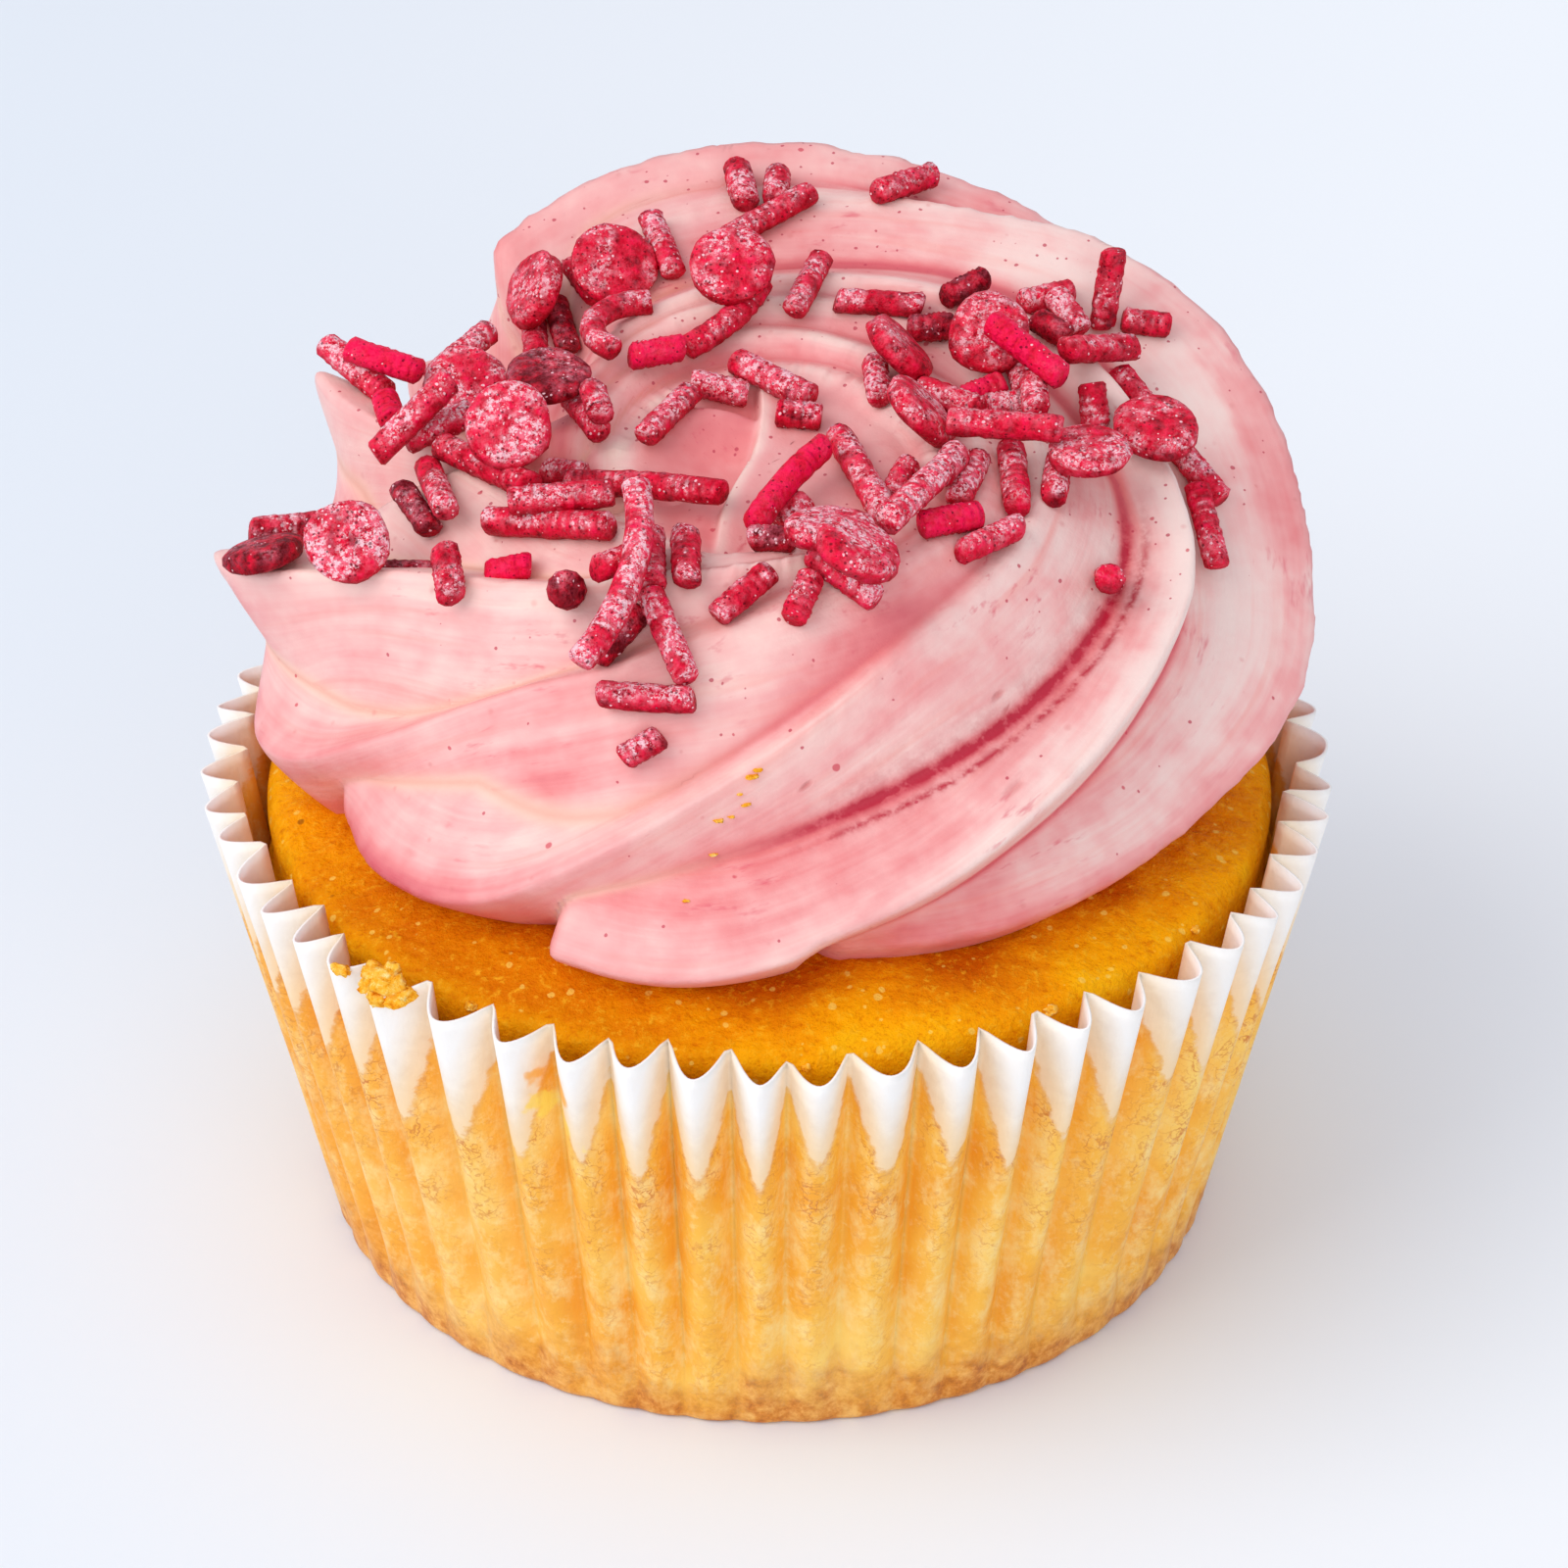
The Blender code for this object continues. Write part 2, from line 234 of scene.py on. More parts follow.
def makeSpeckGroup():  # round specks in some of the cells of a size: the share that has one, and how big it is
    tree, shader, given, result = newGroup("scattered specks", (
        ("Vector", "NodeSocketVector", None), ("Scale", "NodeSocketFloat", 1000.0),
        ("Share", "NodeSocketFloat", 0.3), ("Size", "NodeSocketFloat", 0.2),
    ), (("Mask", "NodeSocketFloat"), ("Depth", "NodeSocketFloat")))
    wobble = shader.noise(given["Vector"], 2500.0, 0.0, color=True)
    shaken = shader.vectors("MULTIPLY", wobble, (0.00012, 0.00012, 0.00012))
    vector = shader.vectors("ADD", given["Vector"], shaken)
    cell = shader.node("TexVoronoi", {"Vector": vector}, output="Distance")
    voronoi = cell.node
    shader.feed(given["Scale"], voronoi.inputs["Scale"])
    pick = shader.node("SeparateColor", {0: voronoi.outputs["Color"]}, output=0)
    size = shader.node("SeparateColor", {0: voronoi.outputs["Color"]}, output=1)
    chosen = shader.maths("LESS_THAN", pick, given["Share"])
    reach = shader.times(given["Size"], shader.remap(size, 0.0, 1.0, 0.45, 1.0))
    near = shader.maths("DIVIDE", voronoi.outputs["Distance"], reach)
    dot = shader.remap(near, 1.0, 0.7, smooth=True)
    shader.feed(shader.times(dot, chosen), result["Mask"])
    bowl = shader.remap(near, 1.0, 0.1, smooth=True)
    shader.feed(shader.times(bowl, chosen), result["Depth"])
    return tree


speckGroup = makeSpeckGroup()


paperCase = {
    "height": 30.75, "rimRadius": 35.0, "baseRadius": 28.5, "cornerHeight": 0.8, "cornerInset": 0.55,
    "flutes": 55, "phase": -87.6, "rimDepth": 2.6, "baseDepth": 0.7, "foldLift": 0.45,
    "thickness": 0.16, "turns": 825, "wallRows": 34, "baseRows": 7,
    "greaseLow": 21.8, "greaseHigh": 28.6,  # where the golden stain ends, on the outer and inner folds
}


def onCircle(azimuth, radius):  # x and y of a place given in degrees and millimetres
    angle = math.radians(azimuth)
    return radius * math.cos(angle), radius * math.sin(angle)


def searchTree(*pieces):
    body = bmesh.new()
    for piece in pieces:
        body.from_mesh(piece.data)
    tree = BVHTree.FromBMesh(body)
    body.free()
    return tree


def topAt(tree, x, y):  # the height at which something let fall there lands
    found = tree.ray_cast(Vector((x, y, 80)) * millimetre, Vector((0, 0, -1)))[0]
    return found.z / millimetre if found else 34.0


def wander(azimuths, seed, *waves):  # a smooth unevenness round the cake: pairs of (cycles, size)
    dice = random.Random(seed)
    return sum(size * np.sin(cycles * azimuths + dice.uniform(0, 6.28)) for cycles, size in waves)


def pleat(azimuths):  # 1 on an inner fold, which is sharp, and 0 on an outer one, which is round
    turn = paperCase["flutes"] * (azimuths - math.radians(paperCase["phase"])) / 2
    return 1 - np.abs(np.sin(turn))


def caseRadius(height, fold):
    share = height / paperCase["height"]
    radius = paperCase["baseRadius"] + (paperCase["rimRadius"] - paperCase["baseRadius"]) * share
    depth = paperCase["baseDepth"] + (paperCase["rimDepth"] - paperCase["baseDepth"]) * share
    return radius - depth * fold


def pleatsRound(turns):  # the angles of the turns, and how far in the slightly uneven pleats are there
    azimuths = np.arange(turns) * 2 * np.pi / turns
    shaken = azimuths + wander(azimuths, 3, (5, 0.012), (9, 0.009), (14, 0.005), (23, 0.0025))
    return azimuths, pleat(shaken)[:, None]


def makePaperMaterial():
    material, shader, surface, place = newMaterial("greased paper", Roughness=0.55, Specular_IOR_Level=0.3)
    grease = shader.attribute("grease")  # millimetres below the edge of the stain
    fold = shader.attribute("fold")
    height = shader.axis(place, 2)
    fibre = shader.noise(place, 900.0, 4.0, 0.6, 0.4)
    fibreLong = shader.noise(shader.stretch(place, (1, 1, 0.35)), 2600.0, 3.0, 0.55)
    paperWhite = shader.mix(shader.remap(fibre, 0.3, 0.7), paint(240, 218, 192), paint(252, 234, 210))
    paperWhite = shader.tint(paperWhite, (250, 245, 240), shader.remap(grease, -2.5, -6.5))
    half = shader.remap(shader.plus(grease, shader.noise(place, 500.0, 2.0)), -3.8, 0.6, smooth=True)
    half = shader.times(half, shader.remap(fold, 0.7, 0.2, 0.35, 0.9))
    paperWhite = shader.tint(paperWhite, (250, 214, 164), half)
    ragged = shader.times(shader.remap(shader.noise(place, 800.0, 4.0, 0.65), 0.25, 0.75, -0.5, 0.5), 1.8)
    soaked = shader.remap(shader.plus(grease, ragged), -0.5, 0.5, smooth=True)
    cloud = shader.noise(place, 130.0, 2.0, 0.5)
    gold = shader.ramp(
        shader.remap(cloud, 0.3, 0.7), (0.0, (247, 166, 40)), (0.5, (253, 187, 64)), (1.0, (255, 210, 106)))
    # painted shade: the gold is drawn darker towards the left, where the key softbox lights the case more
    # strongly
    goldShadeOnLeft = shader.remap(shader.axis(place, 0), -0.004, -0.028, 0.0, 0.4)
    gold = shader.tint(gold, (247, 160, 44), goldShadeOnLeft)
    # the crumb showing through the paper: cloudy patches and fine crinkled fibres, stronger on the outer folds
    upright = shader.stretch(place, (1, 1, 0.55))
    patch = shader.remap(shader.noise(place, 300.0, 3.0, 0.6), 0.36, 0.66)
    bright = shader.remap(shader.noise(upright, 620.0, 4.0, 0.7), 0.47, 0.68)
    gold = shader.tint(gold, (255, 222, 146), bright, 0.7)
    twisted = shader.noise(place, 600.0, 3.0, 0.6, color=True)
    warped = shader.vectors("ADD", place, shader.vectors("MULTIPLY", twisted, (0.0022, 0.0022, 0.0014)))
    onFold = shader.remap(fold, 0.8, 0.1, 0.15, 1.0)
    amount = shader.times(patch, shader.plus(shader.remap(grease, 12.0, 0.4, 0.5, 1.35), -0.1))
    for scale, width, weight, number in ((620.0, 0.028, 1.0, 2), (1350.0, 0.034, 0.7, 5)):
        wave = shader.noise(shader.stretch(warped, (1, 1, 1), (number, 0, number)), scale, 2.0, 0.5)
        apart = shader.maths("ABSOLUTE", shader.maths("SUBTRACT", wave, 0.5))
        thin = shader.remap(apart, width, 0.0, smooth=True)
        fibres = shader.times(thin, shader.times(amount, weight))
        gold = shader.tint(gold, (212, 124, 46), fibres, onFold, clamp=True)
    grain = shader.noise(place, 1500.0, 3.0, 0.7)
    gold = shader.tint(gold, (255, 224, 150), shader.remap(grain, 0.55, 0.75, 0.0, 0.5))
    uneven = shader.remap(shader.noise(place, 300.0, 3.0, 0.6), 0.2, 0.8, -0.0035, 0.0035)
    low = shader.remap(shader.plus(height, uneven), 0.0056, 0.0006)
    scorched = shader.remap(shader.noise(place, 800.0, 4.0, 0.75), 0.32, 0.68)
    mottled = shader.ramp(scorched, (0.0, (172, 84, 14)), (0.4, (212, 126, 36)), (1.0, (246, 184, 96)))
    gold = shader.mix(shader.times(low, 0.92), gold, mottled)
    color = shader.mix(soaked, paperWhite, gold)
    # a green fleck, an orange spot, and a torn place with yellow crumb behind it
    for spot, size, tone in (
        ((29.6, -10.9, 27.4), 0.55, (60, 140, 96)), ((34.4, -2.6, 28), 0.8, (232, 128, 40)),
        ((-12.5, -30.8, 27.6), 1.6, (250, 170, 24)),
        ((-13.6, -29.8, 25.6), 1.0, (255, 216, 84)), ((-12.6, -30.1, 25.2), 1.1, (255, 222, 100)),
        ((-11.8, -30.3, 24.5), 1.1, (255, 220, 106)), ((-10.9, -30.4, 23.4), 0.9, (255, 224, 130)),
    ):
        middle = Vector(spot) * millimetre
        apart = shader.vectors("DISTANCE", place, middle, 1)
        apart = shader.plus(apart, shader.sway(shader.noise(place, 900.0, 2.0), 0.0004))
        mark = shader.remap(apart, size * millimetre, size * 0.6 * millimetre, smooth=True)
        color = shader.tint(color, tone, mark, 0.8)
    rim = shader.times(shader.remap(grease, 0.9, 0.0), soaked)
    color = shader.tint(color, (222, 160, 100), rim, 0.35)
    shader.feed(color, surface["Base Color"])
    shader.feed(shader.remap(soaked, 0.0, 1.0, 0.72, 0.42), surface["Roughness"])
    relief = shader.plus(shader.times(fibreLong, 0.6), shader.noise(place, 350.0, 3.0, 0.5))
    shader.feed(shader.bump(relief, 0.00012, 0.6), surface["Normal"])
    return material


def makePaperCase():
    azimuths, fold = pleatsRound(paperCase["turns"])
    uneven = 1 + wander(azimuths, 5, (8, 0.09), (13, 0.1), (21, 0.08))[:, None]
    rimTilt = wander(azimuths, 8, (6, 0.16), (17, 0.16), (31, 0.1))[:, None]
    wall = np.linspace(0, 1, paperCase["wallRows"] + 1) ** 0.92
    heights = paperCase["cornerHeight"] + (paperCase["height"] - paperCase["cornerHeight"]) * wall[None, :]
    share = heights / paperCase["height"]
    lean = wander(azimuths, 12, (2, 0.15), (3, 0.12), (7, 0.1))[:, None] * share
    radius = caseRadius(heights, fold * uneven * (0.25 + 0.75 * smoothStep(0.5, 6, heights))) + lean
    crease = wander(azimuths, 15, (40, 0.05), (67, 0.05), (97, 0.04))[:, None]  # crumpling within a pleat
    radius = radius + crease * smoothStep(0.1, 0.9, share)
    height = heights + (paperCase["foldLift"] * fold + rimTilt - 0.15) * smoothStep(0.75, 1, share)
    # the base: a flat disc that turns up round a soft corner
    corner = radius[:, :1]
    turnUp = np.linspace(0, np.pi / 2, 6)[None, 1:-1]
    inset = paperCase["cornerInset"]
    cornerRadius = corner - inset * (1 - np.sin(turnUp))
    cornerHeight = paperCase["cornerHeight"] * (1 - np.cos(turnUp))
    flatShare = np.linspace(0, 1, paperCase["baseRows"])[None, :]
    flatRadius = (corner - inset) * flatShare
    radius = np.concatenate([flatRadius, cornerRadius, radius], axis=1)
    height = np.concatenate([0 * flatRadius, cornerHeight + 0 * corner, height], axis=1)
    points = ringPoints(azimuths, radius, height)
    stainTop = paperCase["greaseLow"] + (paperCase["greaseHigh"] - paperCase["greaseLow"]) * fold**0.8
    stainTop = stainTop + wander(azimuths, 21, (4, 0.5), (11, 0.6), (27, 0.5), (55, 0.2))[:, None]
    values = {"grease": stainTop - height, "fold": fold + 0 * height}
    piece = keepMesh(wrapSheet(points, values), "pleated_case", makePaperMaterial())
    wallModifier = piece.modifiers.new("paper thickness", "SOLIDIFY")
    wallModifier.thickness = paperCase["thickness"] * millimetre
    wallModifier.offset = -1
    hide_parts("paper_case")
    return piece


case = makePaperCase()
print("paper case:", len(case.data.polygons), "faces")


sponge = {
    "crown": 32.3, "domeDrop": 3.0, "domeRadius": 32.0, "domePower": 3.2, "bottom": 0.3,
    "edgeHeight": 28.4, "gap": 0.4, "shoulder": 1.15, "turns": 440, "wallRows": 18, "topRows": 90,
    "grain": 0.16, "swell": 0.28,
}


def spongeTop(radius):
    share = np.clip(radius / sponge["domeRadius"], 0, 1.2)
    return sponge["crown"] - sponge["domeDrop"] * share ** sponge["domePower"]


def makeSpongeMaterial():
    material, shader, surface, place = newMaterial("golden sponge", Roughness=0.5, Specular_IOR_Level=0.04)
    radius = shader.length(shader.vectors("MULTIPLY", place, (1, 1, 0)))
    cloud = shader.noise(place, 150.0, 3.0, 0.6)
    # painted shade: the top is drawn darker towards the icing's foot, where the icing shades it
    outward = shader.plus(shader.remap(radius, 0.024, 0.0325), shader.sway(cloud, 0.3))
    color = shader.ramp(
        outward, (0.0, (206, 92, 0)), (0.45, (242, 144, 2)), (0.8, (254, 168, 2)), (1.0, (255, 182, 10)))
    # painted shade: darker where the icing's edge overhangs the sponge, at the front left
    toFrontLeft = shader.vectors("DOT_PRODUCT", place, (-0.6, -0.8, 0), 1)
    shadedFrontLeft = shader.times(shader.remap(toFrontLeft, 0.0245, 0.0285), shader.remap(radius, 0.0325, 0.0295))
    color = shader.tint(color, (206, 90, 0), shadedFrontLeft, 0.6)
    crumb = shader.noise(place, 1700.0, 4.0, 0.75)
    color = shader.tint(color, (255, 190, 40), shader.remap(crumb, 0.54, 0.72, 0.0, 0.75))
    color = shader.tint(color, (204, 88, 0), shader.remap(crumb, 0.46, 0.3, 0.0, 0.55))
    pale = shader.specks(place, 1100.0, 0.4, 0.32)
    color = shader.tint(color, (255, 214, 96), pale, 0.6)
    dark = shader.specks(place, 420.0, 0.1, 0.14)
    color = shader.tint(color, (120, 58, 10), dark, 0.6)
    shader.feed(color, surface["Base Color"])
    shader.feed(shader.remap(crumb, 0.3, 0.7, 0.62, 0.4), surface["Roughness"])
    relief = shader.plus(crumb, shader.times(shader.noise(place, 700.0, 3.0, 0.6), 1.6))
    shader.feed(shader.bump(relief, 0.00035, 0.7), surface["Normal"])
    return material


def makeSponge():
    azimuths, fold = pleatsRound(sponge["turns"])
    inside = paperCase["thickness"] + sponge["gap"]
    wall = np.linspace(paperCase["cornerHeight"] + 0.6, sponge["edgeHeight"], sponge["wallRows"])[None, :]
    rise = smoothStep(21, 28, wall)
    side = np.maximum(0.3 + 0.7 * fold, rise)
    side = side + (1.08 - side) * rise * 0.999
    radius = caseRadius(wall, side) - inside
    edge = radius[:, -1:]
    turnOver = np.linspace(0, np.pi / 2, 7)[None, 1:]
    shoulder = sponge["shoulder"]
    lipRadius = edge - shoulder * (1 - np.cos(turnOver))
    lipTop = spongeTop(edge - shoulder)
    lipHeight = sponge["edgeHeight"] + (lipTop - sponge["edgeHeight"]) * np.sin(turnOver)
    inward = np.linspace(1, 0, sponge["topRows"] + 1)[None, 1:]
    topRadius = (edge - shoulder) * inward
    topHeight = spongeTop(topRadius)
    start = radius[:, :1]
    bottomRadius = np.concatenate([0 * start, start * 0.5, start - 1.2, start - 0.4], axis=1)
    bottomHeight = np.array([[0, 0, 0, 0.35]]) + sponge["bottom"] + 0 * start
    radius = np.concatenate([bottomRadius, radius, lipRadius, topRadius], axis=1)
    height = np.concatenate([bottomHeight, wall + 0 * start, lipHeight, topHeight], axis=1)
    points = ringPoints(azimuths, radius, height)
    crust = smoothStep(26.5, 28.6, height)
    flat = points.reshape(-1, 3)
    rough = lumps(flat, 1.1, 2, 3).reshape(radius.shape) * sponge["grain"]
    swell = lumps(flat, 6.5, 4, 2).reshape(radius.shape) * sponge["swell"]
    middle = smoothStep(0, 1.5, radius)
    points[:, :, 2] += (rough + swell) * crust * middle * smoothStep(33.5, 29.5, radius)
    piece = keepMesh(wrapSheet(points, {}), "sponge_cake", makeSpongeMaterial())
    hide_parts("sponge")
    return piece


cake = makeSponge()
print("sponge:", len(cake.data.polygons), "faces")


icing = {
    "turns": 450, "rows": 200, "undersideRows": 6, "centreHeight": 49.6, "footRadius": 25.5, "footHeight": 28,
    "valleyLimit": 5.0, "creaseSoftness": 0.13, "rimClearance": 1.9, "arcScale": 20.0,
    "hollow": (137, 24, 5, 5.5),  # azimuth, radius, depth and width of the gap at the back left
    "creaseDrop": 1.7, "wobble": 0.16,
    "ragged": {"right": 0.2, "top back": 0.22, "mid back": 0.2, "low back": 0.16, "left point": 0.2},
}
# Each arm of the swirl is a piped ridge, followed from its outer end inward and counterclockwise.
# A station is (azimuth in degrees, radius, height) of the lip of the ridge.
arms = {
    "low back": ((95, 27, 34), (120, 29, 37), (150, 29.5, 40), (165, 29.5, 41)),
    "mid back": ((45, 28, 34), (75, 29.5, 39), (105, 30.5, 45), (140, 31, 47.5)),
    "top back": (
        (5, 28, 34), (30, 31.4, 43.5), (50, 32.3, 52.2), (70, 31.3, 56.3), (90, 31.2, 57.4),
        (108, 31.2, 56.6), (120, 31, 54.3), (127, 30.5, 53.3),
    ),
    "right": (
        (-82, 24.5, 32.6), (-55, 26.4, 32.8), (-25, 28.9, 34), (-5, 33.1, 38), (8, 34, 43),
        (28, 33.2, 51.1), (45, 30.2, 55), (62, 27, 56), (80, 25.4, 56), (98, 24.8, 55.4), (115, 24.5, 54),
    ),
    "front": (
        (-118, 28.4, 32.7), (-100, 29, 33), (-75, 26.8, 36), (-45, 25.6, 40.5), (-25, 25.7, 44),
        (-10, 25.9, 46.6), (8, 24, 50.2), (24, 22, 53), (50, 19, 54.6), (75, 17, 55),
        (105, 16, 54.6), (130, 15.5, 53.6),
    ),
    "front left": (
        (-160, 27.5, 33), (-143, 29, 33), (-128, 28.6, 34.5), (-112, 25.5, 39), (-97, 21.6, 42.2),
        (-77, 18.2, 45.2), (-47, 16.2, 48.2), (-20, 16.4, 49.8), (5, 16.4, 51), (40, 15.8, 53.2),
        (70, 15, 54.2), (95, 14.4, 54.4), (120, 14, 53.8), (145, 13.6, 52.6),
    ),
    "left": (
        (-181, 31.3, 34.8), (-172, 31.8, 34.4), (-163, 30.2, 35.5), (-155, 27.3, 38.2), (-137, 22, 44),
        (-115, 17.8, 47.2), (-87, 14.4, 49.5), (-52, 13.2, 50.6), (-21, 13.4, 51), (20, 12.6, 52),
        (56, 11.6, 53.4), (86, 11.8, 53.6), (126, 11.8, 53), (163, 11, 52),
    ),
    "left point": (
        (-186, 34.8, 43.6), (-178, 33, 44.5), (-166, 25.5, 47.2), (-140, 17, 49.5), (-108, 12.8, 51),
        (-79, 11, 51.2), (-40, 10.3, 51.3), (-5, 10, 52), (40, 9, 52.6), (84, 9, 52.6), (120, 9, 52.2),
        (160, 9.4, 51.2), (185, 9, 50.4),
    ),
    "back left": (
        (-208, 33, 49.9), (-200, 28.2, 50), (-190, 20, 50.4), (-176, 15.2, 50.4), (-147, 11.2, 50.5),
        (-107, 9.7, 50.8), (-78, 8.4, 51),
    ),
}
# How a ridge falls away from its lip: (azimuth, inner slope, inner depth, outer slope, outer depth, lip size).
armFalls = {
    "low back": ((0, 0.6, 2.5, 1, 3, 0.8),),
    "mid back": ((0, 0.6, 3, 1, 3.5, 0.8),),
    "top back": ((0, 0.8, 5, 1, 3.5, 0.4),),
    "right": ((-80, 0.6, 5, 1.3, 4, 0.35), (30, 0.8, 6, 1.3, 4, 0.35), (115, 0.6, 4, 0.9, 2, 0.8)),
    "front": (
        (-118, 0.6, 6, 1.5, 5, 0.3), (-95, 0.6, 6, 1.7, 5, 0.3), (-60, 0.75, 6, 1.9, 5, 0.3),
        (-20, 1.1, 6, 1.9, 5, 0.3), (5, 1.2, 5, 1.7, 5, 0.3), (60, 0.6, 3, 0.9, 3, 0.5),
    ),
    "front left": (
        (-160, 0.5, 4, 1.5, 5, 0.4), (-136, 0.5, 4, 1.5, 5, 0.35), (-118, 1, 3, 1.3, 6, 0.3),
        (-104, 1.3, 2, 1.1, 6, 0.3), (-90, 1.2, 1.4, 0.9, 6, 0.35), (-60, 0.9, 1, 0.6, 6, 0.4),
        (-20, 0.8, 1.2, 0.55, 5, 0.45), (5, 0.7, 2, 0.5, 4, 0.5), (45, 0.6, 2.5, 0.9, 3, 0.4),
    ),
    "left": (
        (-180, 0.8, 5, 0.1, 5, 0.6), (-165, 1.2, 4, 0.15, 5, 0.4), (-155, 1.6, 4, 0.7, 5, 0.35),
        (-136, 1.8, 3, 0.6, 5, 0.35), (-112, 1.2, 1.4, 0.22, 4, 0.8), (-60, 0.6, 0.9, 0.25, 3, 1.2),
        (-20, 0.5, 1.5, 0.5, 2, 0.7), (60, 0.6, 2.5, 1, 3, 0.4),
    ),
    "left point": (
        (-186, 1.2, 6, 0.8, 5, 0.35), (-165, 1, 4, 0.5, 4, 0.3), (-140, 0.9, 3, 0.28, 3, 0.3),
        (-80, 0.9, 2, 0.4, 1.5, 0.4), (60, 0.6, 2.5, 1, 3, 0.4),
    ),
    "back left": (
        (-208, 1.1, 6, 0.45, 6, 0.4), (-185, 0.8, 4, 0.5, 5, 0.5), (-150, 0.6, 2.5, 0.5, 3, 0.6),
        (-80, 0.5, 1.6, 0.5, 2, 0.6),
    ),
}
# Degrees over which a ridge rises at its outer end and sinks at its inner end.
armEnds = {"back left": (2, 16), "left point": (4, 16), "top back": (6, 4), "mid back": (6, 8)}
# How pink the buttercream is: (azimuth, on the lip, inside it, outside it, width of the lip's colour).
armTones = {
    "low back": ((0, 0.55, 0.45, 0.5, 2),),
    "mid back": ((0, 0.55, 0.45, 0.5, 2),),
    "top back": (
        (0, 0.6, 0.5, 0.5, 2), (60, 0.5, 0.45, 0.5, 2), (100, 0.4, 0.32, 0.5, 2), (127, 0.4, 0.36, 0.5, 2),
    ),
    "right": (
        (-80, 0.6, 0.46, 0.5, 2.5), (-40, 0.58, 0.42, 0.54, 2.5), (-10, 0.56, 0.38, 0.52, 2.4),
        (20, 0.5, 0.16, 0.45, 1.6), (50, 0.24, 0.16, 0.45, 1.3), (80, 0.26, 0.5, 0.5, 1.5),
    ),
    "front": (
        (-118, 0.6, 0.4, 0.45, 1.2), (-95, 0.42, 0.54, 0.36, 1.5), (-60, 0.22, 0.58, 0.24, 1.8),
        (-20, 0.1, 0.6, 0.3, 2), (10, 0.06, 0.46, 0.35, 2.3), (60, 0.25, 0.65, 0.6, 1.2),
    ),
    "front left": (
        (-160, 0.8, 0.42, 0.6, 2), (-136, 0.74, 0.34, 0.55, 1.8), (-118, 0.44, 0.1, 0.34, 1.4),
        (-100, 0.3, 0.42, 0.3, 1.4), (-84, 0.34, 0.86, 0.34, 1), (-62, 0.34, 0.86, 0.42, 1),
        (-40, 0.22, 0.62, 0.4, 1.2), (-20, 0.16, 0.42, 0.36, 1.4), (5, 0.14, 0.4, 0.4, 1.6),
        (60, 0.25, 0.8, 0.7, 1.1),
    ),
    "left": (
        (-180, 0.66, 0.3, 0.58, 3), (-155, 0.56, 0.2, 0.58, 2.5), (-136, 0.42, 0.34, 0.56, 2),
        (-110, 0.36, 0.38, 0.46, 2.2), (-92, 0.26, 0.34, 0.34, 2.2), (-60, 0.34, 0.38, 0.9, 2),
        (-20, 0.24, 0.45, 0.42, 1.6), (60, 0.2, 0.8, 0.7, 1.1),
    ),
    "left point": (
        (-186, 0.2, 0.16, 0.38, 1.5), (-150, 0.08, 0.12, 0.38, 1.5), (-100, 0.16, 0.22, 0.38, 1.5),
        (0, 0.28, 0.45, 0.5, 1.5), (60, 0.18, 0.7, 0.85, 1.2), (100, 0.18, 0.6, 0.8, 1.2),
    ),
    "back left": ((-208, 0.35, 0.28, 0.3, 2), (-180, 0.1, 0.2, 0.18, 2), (-100, 0.25, 0.5, 0.4, 1.5)),
}


def core(azimuth):  # radius and height of the ring inside the icing that the ridges grow out from
    back = np.sin(azimuth)
    return 13 + 3.5 * back, 33.5 + 6 * back


def toRay(azimuth, radius, height):  # a point as its distance round the icing and its reach from the core
    coreRadius, coreHeight = core(azimuth)
    out = radius - coreRadius
    up = height - coreHeight
    around = icing["arcScale"] * np.arctan2(up, np.maximum(out, 1e-9))
    beyond = out > 0
    place = np.where(beyond, around, icing["arcScale"] * np.pi / 2 - out)
    return place, np.where(beyond, np.hypot(out, up), up)


def fromRay(azimuth, place, reach):
    coreRadius, coreHeight = core(azimuth)
    top = icing["arcScale"] * np.pi / 2
    angle = place / icing["arcScale"]
    beyond = place < top
    radius = np.where(beyond, coreRadius + reach * np.cos(angle), coreRadius - (place - top))
    return radius, coreHeight + np.where(beyond, reach * np.sin(angle), reach)


def followArm(stations, degrees):  # radius and height of a lip, as a smooth cubic through its stations
    stations = np.array(stations, dtype=float)
    at = stations[:, 0]
    value = stations[:, 1:]
    step = np.diff(at)[:, None]
    rise = np.diff(value, axis=0) / step
    slope = np.zeros_like(value)
    slope[1:-1] = (rise[:-1] * step[1:] + rise[1:] * step[:-1]) / (step[:-1] + step[1:])
    slope[0] = rise[0]
    slope[-1] = rise[-1]
    where = np.clip(degrees, at[0] - 12, at[-1] + 12)
    index = np.clip(np.searchsorted(at, where) - 1, 0, len(at) - 2)
    length = step[index]
    t = np.clip((where - at[index])[:, None] / length, 0, 1)
    early = (2 * t**3 - 3 * t**2 + 1) * value[index] + (t**3 - 2 * t**2 + t) * length * slope[index]
    late = (3 * t**2 - 2 * t**3) * value[index + 1] + (t**3 - t**2) * length * slope[index + 1]
    before = np.minimum(where - at[0], 0)[:, None] * slope[0]
    after = np.maximum(where - at[-1], 0)[:, None] * slope[-1]
    result = early + late + before + after
    return result[:, 0], result[:, 1]


